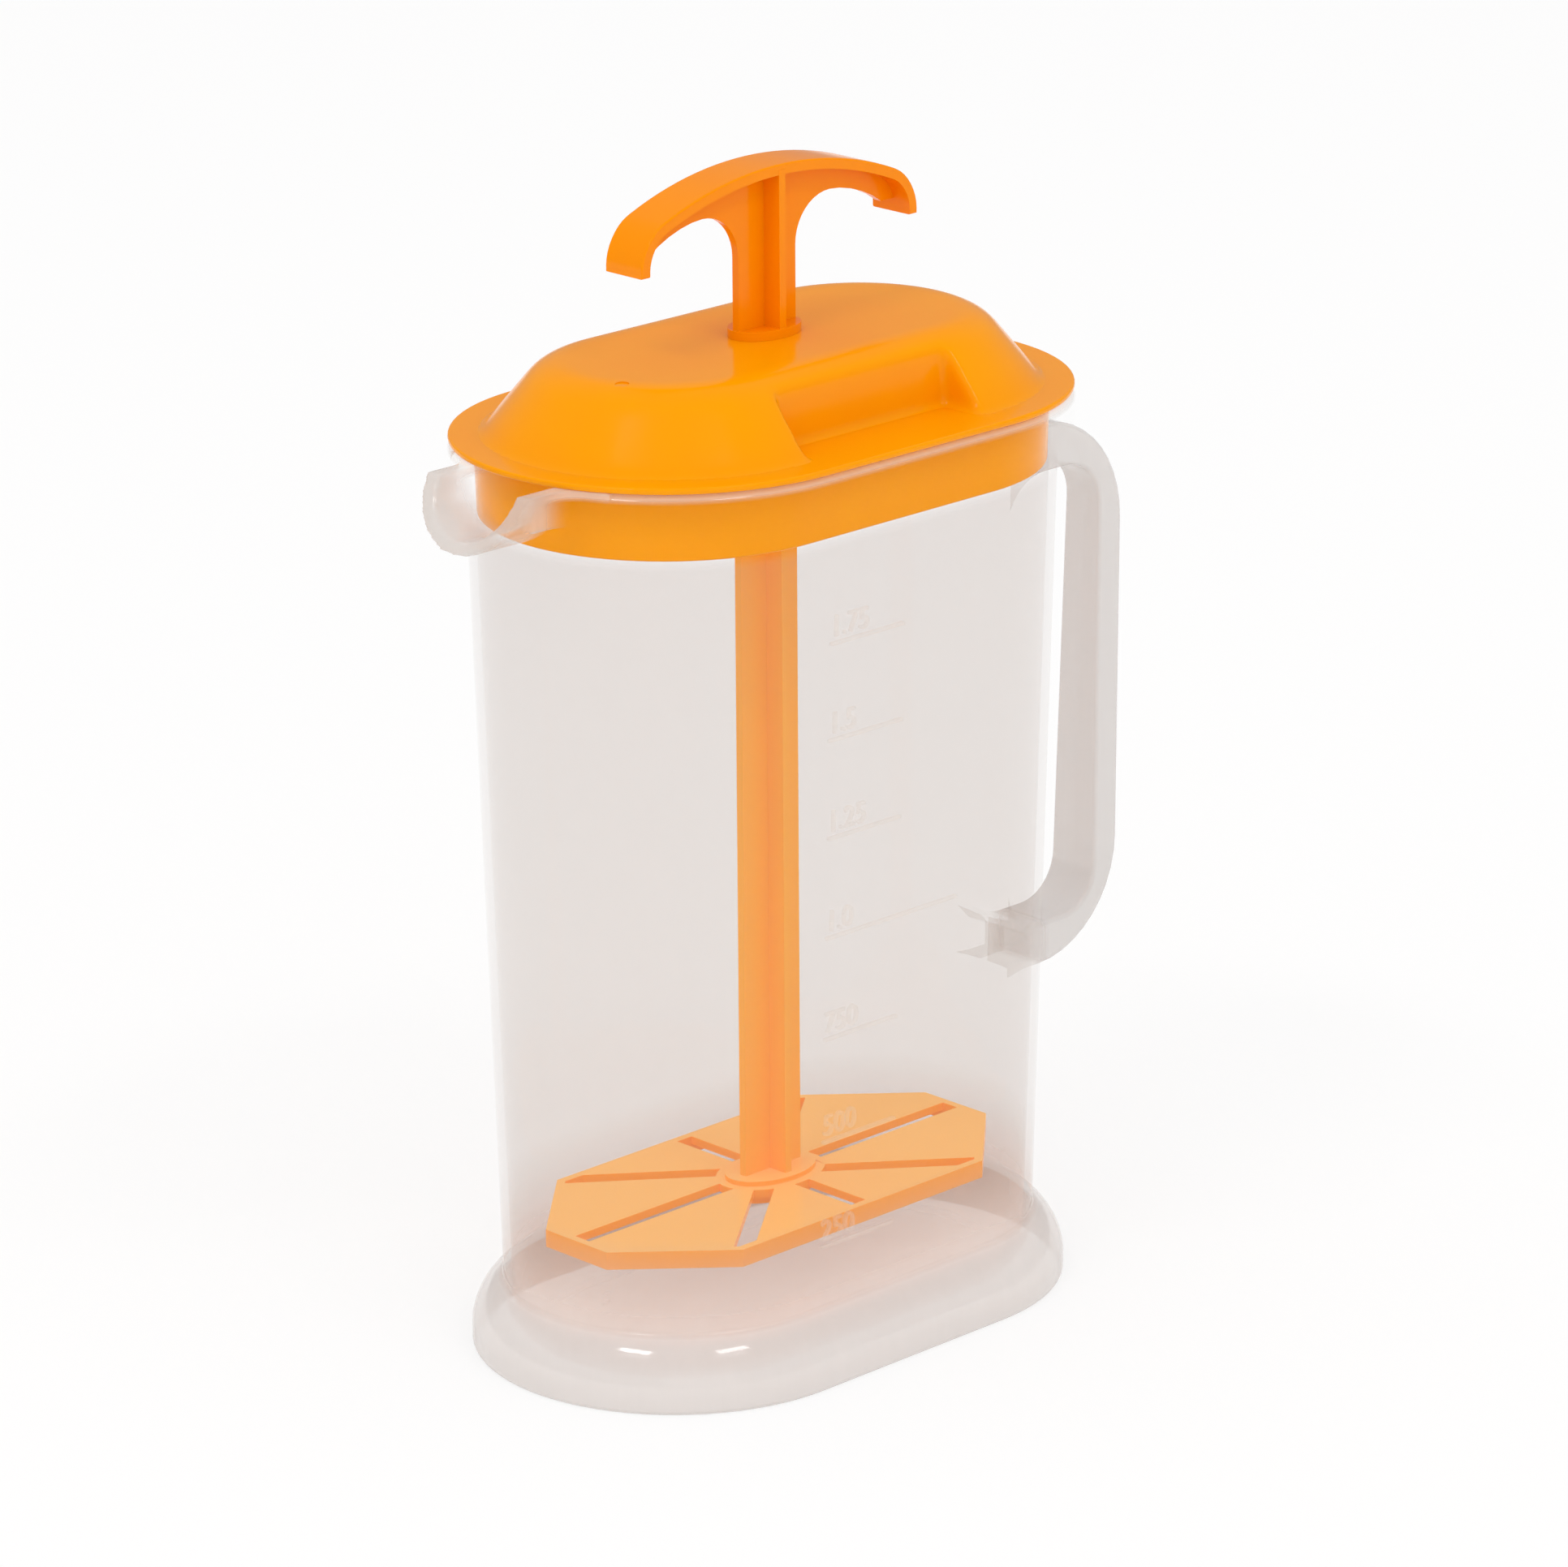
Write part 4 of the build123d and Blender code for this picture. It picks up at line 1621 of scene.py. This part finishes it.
@dataclass
class MixingPlate:
    """The mixing plate: eight sides, a rim that hangs down, eight slots and the hub for the stem.

    The blocks that cut the slots pass the plate by margins of their own, so that no two of their
    faces lie in one plane.
    """

    half_length: float = 62.8
    half_width: float = 31.3
    side_half: float = 39.6
    end_half: float = 10.2
    top: float = 33.1
    thickness: float = 2.0
    rim_height: float = 4.3
    rim_wall: float = 2.0
    slot_width: float = 4.7
    hub_half_length: float = 14.8
    hub_half_width: float = 10.6
    hub_margin: float = 2.2
    hub_rise: float = 1.2
    hub_sunk: float = 1.0
    bar_margin: float = 3.0
    slots_margin: float = 4.0
    middle_margin: float = 6.0
    edge: float = 0.4

    def corners(self, inset: float = 0.0) -> list[Corner]:
        """Eight corners of the plate, drawn in by an inset.

        Args:
            inset: How far inside the plate's side they lie.

        Returns:
            The corners in order.
        """
        slant = Vector((self.half_width - self.end_half, self.half_length - self.side_half)).normalized()
        side_cut = inset * (1 - slant.y) / slant.x
        end_cut = inset * (1 - slant.x) / slant.y
        length, width = self.half_length - inset, self.half_width - inset
        side, end = self.side_half - side_cut, self.end_half - end_cut
        quarter = [(length, end), (side, width)]
        half = quarter + [(-x, y) for x, y in reversed(quarter)]
        return [Corner(x, y) for x, y in half + [(-x, -y) for x, y in half]]

    def bar(self, angle: float) -> bpy.types.Object:
        """Make the bar that cuts two opposite slots.

        Args:
            angle: How far it is turned about the stem.

        Returns:
            The solid, in millimetres.
        """
        low = self.top - self.rim_height - self.bar_margin
        corners = rectangle(2 * self.half_length, self.slot_width / 2)
        bar = prism(View.PLAN, corners, low, self.top + CUT_MARGIN)
        bar.data.transform(Matrix.Rotation(angle, 4, "Z"))
        return bar

    def make(self) -> bpy.types.Object:
        """Build the plate, in millimetres from the jug's axis.

        Returns:
            The solid, in millimetres.
        """
        low, top = self.top - self.rim_height, self.top
        plate = prism(View.PLAN, self.corners(), low, top)
        within_rim = self.corners(self.rim_wall)
        under = prism(View.PLAN, within_rim, low - CUT_MARGIN, top - self.thickness)
        hub = ellipse(self.hub_half_length - self.hub_margin, self.hub_half_width - self.hub_margin)
        join(under, prism(View.PLAN, hub, low - 2 * CUT_MARGIN, top), Joining.CUT)
        join(plate, under, Joining.CUT)
        corner_angle = atan(self.half_width / self.side_half)
        bars = self.bar(0.0)
        for angle in (corner_angle, pi / 2, -corner_angle):
            join(bars, self.bar(angle), Joining.ADD)
        slots = prism(View.PLAN, within_rim, low - self.slots_margin, top + self.slots_margin)
        join(slots, bars, Joining.KEEP)
        middle = ellipse(self.hub_half_length, self.hub_half_width)
        kept = prism(View.PLAN, middle, low - self.middle_margin, top + self.middle_margin)
        join(slots, kept, Joining.CUT)
        join(plate, slots, Joining.CUT)
        join(plate, prism(View.PLAN, hub, top - self.hub_sunk, top + self.hub_rise), Joining.ADD)
        soften(plate, self.edge)
        plate.name = "mixing_disc"
        return plate


class Lamp(NamedTuple):
    """Area lamp that faces the jug, with its place and size in metres and its power in watts."""

    name: str
    place: tuple[float, float, float]
    size: tuple[float, float]
    power: float


@dataclass
class Studio:
    """Pale floor, soft light and the camera at the photograph's angle."""

    focus: tuple[float, float, float] = (0.0, 0.0, 122.7)
    distance: float = 1672.7
    azimuth: float = -44.36
    elevation: float = 18.45
    roll: float = -0.41
    yaw: float = 0.13
    pitch: float = 0.21
    focal_pixels: float = 8878.3
    picture_width: float = 1932.0
    sensor: float = 36.0
    clip: tuple[float, float] = (0.05, 50.0)
    faces_seen_through: int = 32
    floor_half: float = 3.0
    floor_colour: str = "#f4f3f1"
    floor_glow: float = 0.72
    sky: float = 0.98
    sky_colour: str = "#fbfbfd"
    mirrored_in_front: float = 0.06
    mirrored_behind: float = 0.35
    mirrored_turn: tuple[float, float] = (-0.2, 0.7)
    lamp_aim: tuple[float, float, float] = (0.0, 0.0, 0.12)
    lamps: tuple[Lamp, ...] = (
        Lamp("window on the spout's side", (-1.30, -0.24, 1.88), (0.58, 0.24), 5.0),
        Lamp("window on the near side", (-0.10, -1.33, 1.86), (0.58, 0.24), 3.5),
        Lamp("low fill light", (-1.2, -1.8, 0.6), (1.6, 1.0), 2.0),
    )

    def camera(self, placing: Placing) -> None:
        """Make the camera, turned as the fitted view is.

        Args:
            placing: Where the jug's axis is.
        """
        turn, rise = radians(self.azimuth), radians(self.elevation)
        back = Vector((sin(turn) * cos(rise), -cos(turn) * cos(rise), sin(rise)))
        right = Vector((cos(turn), sin(turn), 0))
        place = Vector(self.focus) + back * self.distance
        upward = back.cross(right)
        yaw, pitch, roll = radians(self.yaw), radians(self.pitch), radians(self.roll)
        right, back = right * cos(yaw) + back * sin(yaw), back * cos(yaw) - right * sin(yaw)
        upward, back = upward * cos(pitch) + back * sin(pitch), back * cos(pitch) - upward * sin(pitch)
        right, upward = right * cos(roll) + upward * sin(roll), upward * cos(roll) - right * sin(roll)
        data = bpy.data.cameras.new("camera")
        data.sensor_width = self.sensor
        data.lens = self.sensor * self.focal_pixels / self.picture_width
        data.clip_start, data.clip_end = self.clip
        camera = bpy.data.objects.new("camera", data)
        turned = Matrix((right, upward, back)).transposed().to_4x4()
        camera.matrix_world = Matrix.Translation(place * MM + Vector((placing.jug_x, 0, 0))) @ turned
        bpy.context.scene.collection.objects.link(camera)
        bpy.context.scene.camera = camera

    def floor(self) -> None:
        """Make the floor, white to the eye and keeping the jug's shadow."""
        mesh = bmesh.new()
        bmesh.ops.create_grid(mesh, x_segments=1, y_segments=1, size=self.floor_half)
        floor = as_solid(mesh, "floor")
        material, tree = empty_material("matt white painted floor")
        paint = add_node(
            tree, "ShaderNodeBsdfDiffuse", values={"Color": linear(self.floor_colour), "Roughness": 1.0}
        )
        white = add_node(tree, "ShaderNodeEmission", values={"Color": (1, 1, 1, 1), "Strength": 1.0})
        rays = add_node(tree, "ShaderNodeLightPath")
        seen = add_node(
            tree,
            "ShaderNodeMath",
            settings={"operation": "MAXIMUM"},
            links={0: rays.outputs["Is Camera Ray"], 1: rays.outputs["Is Glossy Ray"]},
        )
        seen = add_node(
            tree,
            "ShaderNodeMath",
            settings={"operation": "MAXIMUM"},
            links={0: seen.outputs[0], 1: rays.outputs["Is Transmission Ray"]},
        )
        share = add_node(
            tree,
            "ShaderNodeMath",
            settings={"operation": "MULTIPLY"},
            values={1: self.floor_glow},
            links={0: seen.outputs[0]},
        )
        mixed = add_node(
            tree,
            "ShaderNodeMixShader",
            links={0: share.outputs[0], 1: paint.outputs[0], 2: white.outputs[0]},
        )
        add_node(tree, "ShaderNodeOutputMaterial", links={"Surface": mixed.outputs[0]})
        floor.data.materials.append(material)

    def world(self) -> None:
        """Make the world: white to the eye, a soft sky for light and a dimmer room in reflections."""
        world = bpy.data.worlds.new("studio")
        bpy.context.scene.world = world
        world.use_nodes = True
        tree = world.node_tree
        tree.nodes.clear()
        rays = add_node(tree, "ShaderNodeLightPath")
        way = add_node(tree, "ShaderNodeTexCoord").outputs["Generated"]
        behind = add_node(
            tree,
            "ShaderNodeVectorMath",
            settings={"operation": "DOT_PRODUCT"},
            values={1: (-sin(radians(self.azimuth)), cos(radians(self.azimuth)), 0.0)},
            links={0: way},
        ).outputs["Value"]
        mirrored = add_node(
            tree,
            "ShaderNodeMapRange",
            values={
                "From Min": self.mirrored_turn[0],
                "From Max": self.mirrored_turn[1],
                "To Min": self.mirrored_in_front,
                "To Max": self.mirrored_behind,
            },
            links={"Value": behind},
        ).outputs["Result"]
        seen = add_node(
            tree,
            "ShaderNodeMath",
            settings={"operation": "MAXIMUM"},
            links={0: rays.outputs["Is Camera Ray"], 1: rays.outputs["Is Transmission Ray"]},
        ).outputs[0]
        sky = add_node(
            tree,
            "ShaderNodeBackground",
            values={"Color": linear(self.sky_colour), "Strength": self.sky},
        ).outputs[0]
        walls = add_node(
            tree, "ShaderNodeBackground", values={"Color": (1, 1, 1, 1)}, links={"Strength": mirrored}
        ).outputs[0]
        white = add_node(
            tree, "ShaderNodeBackground", values={"Color": (1, 1, 1, 1), "Strength": 1.0}
        ).outputs[0]
        mixed = add_node(
            tree, "ShaderNodeMixShader", links={0: rays.outputs["Is Glossy Ray"], 1: sky, 2: walls}
        ).outputs[0]
        mixed = add_node(tree, "ShaderNodeMixShader", links={0: seen, 1: mixed, 2: white}).outputs[0]
        add_node(tree, "ShaderNodeOutputWorld", links={"Surface": mixed})

    def hang(self, lamp: Lamp) -> None:
        """Hang a lamp so that it faces the jug.

        Args:
            lamp: The lamp.
        """
        data = bpy.data.lights.new(lamp.name, "AREA")
        data.shape = "RECTANGLE"
        data.size, data.size_y = lamp.size
        data.energy = lamp.power
        hung = bpy.data.objects.new(lamp.name, data)
        facing = (Vector(self.lamp_aim) - Vector(lamp.place)).to_track_quat("-Z", "Y").to_matrix()
        hung.matrix_world = Matrix.Translation(lamp.place) @ facing.to_4x4()
        bpy.context.scene.collection.objects.link(hung)

    def make(self, placing: Placing) -> None:
        """Set the stage.

        Args:
            placing: Where the jug's axis is.
        """
        bpy.context.scene.view_settings.view_transform = "Standard"
        bpy.context.scene.cycles.transparent_max_bounces = self.faces_seen_through
        self.camera(placing)
        self.floor()
        self.world()
        for lamp in self.lamps:
            self.hang(lamp)


def dress(
    piece: bpy.types.Object,
    material: bpy.types.Material,
    placing: Placing,
    body: str,
    node: str | None,
) -> None:
    """Settle a finished piece in the frame and give it its finish.

    Args:
        piece: The piece, in millimetres.
        material: Its finish.
        placing: Where the jug's axis is.
        body: Body that it moves with.
        node: Solid that it stands for, if any.
    """
    smooth(piece)
    placing.settle(piece)
    piece.data.materials.clear()
    piece.data.materials.append(material)
    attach(piece, body)
    if node is not None:
        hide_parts(node)
    log.info("%s: %d faces, rides on %s", piece.name, len(piece.data.polygons), body)


def main() -> None:
    """Build the jug piece by piece, then the stage."""
    logging.basicConfig(level=logging.INFO, format="%(name)s: %(message)s")
    low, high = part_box("lid")
    placing = Placing(jug_x=(low.x + high.x) / 2)
    jug = JugShell()
    wall_finish = NaturalPolypropylene("moulded natural polypropylene", jug, placing.jug_x)
    mark_finish = NaturalPolypropylene(
        "moulded natural polypropylene, raised marks", jug, placing.jug_x, colour="#f3e2d0", fog=0.10
    )
    lid = LidShell(jug)
    lid_finish = OrangePolypropylene(
        "moulded orange polypropylene, lid", colour="#f99f00", deep_colour="#f69800", mirror=0.14
    )
    # below the lid's skirt the plunger and the plate are painted paler and given a painted glow, as painted
    # light from the milky walls
    plunger_finish = OrangePolypropylene(
        "moulded orange polypropylene, plunger",
        colour="#f99200",
        deep_colour="#f58b00",
        painted_light_colour="#fca820",
        painted_light_top=lid.skirt_bottom,
        painted_glow=0.16,
    )
    plate_finish = OrangePolypropylene(
        "moulded orange polypropylene, plate",
        painted_light_colour="#fb9c0c",
        painted_light_top=lid.skirt_bottom,
        painted_glow=0.22,
    )
    dress(jug.make(), wall_finish.make(), placing, BODY_OF_JUG, "jug_body")
    dress(Graduations(jug).make(), mark_finish.make(), placing, BODY_OF_JUG, None)
    dress(lid.make(), lid_finish.make(), placing, BODY_OF_LID, "lid")
    dress(Plunger(lid).make(), plunger_finish.make(), placing, BODY_OF_PLUNGER, "plunger")
    dress(MixingPlate().make(), plate_finish.make(), placing, BODY_OF_PLUNGER, "mixing_plate")
    Studio().make(placing)


if __name__ == "__main__":
    main()
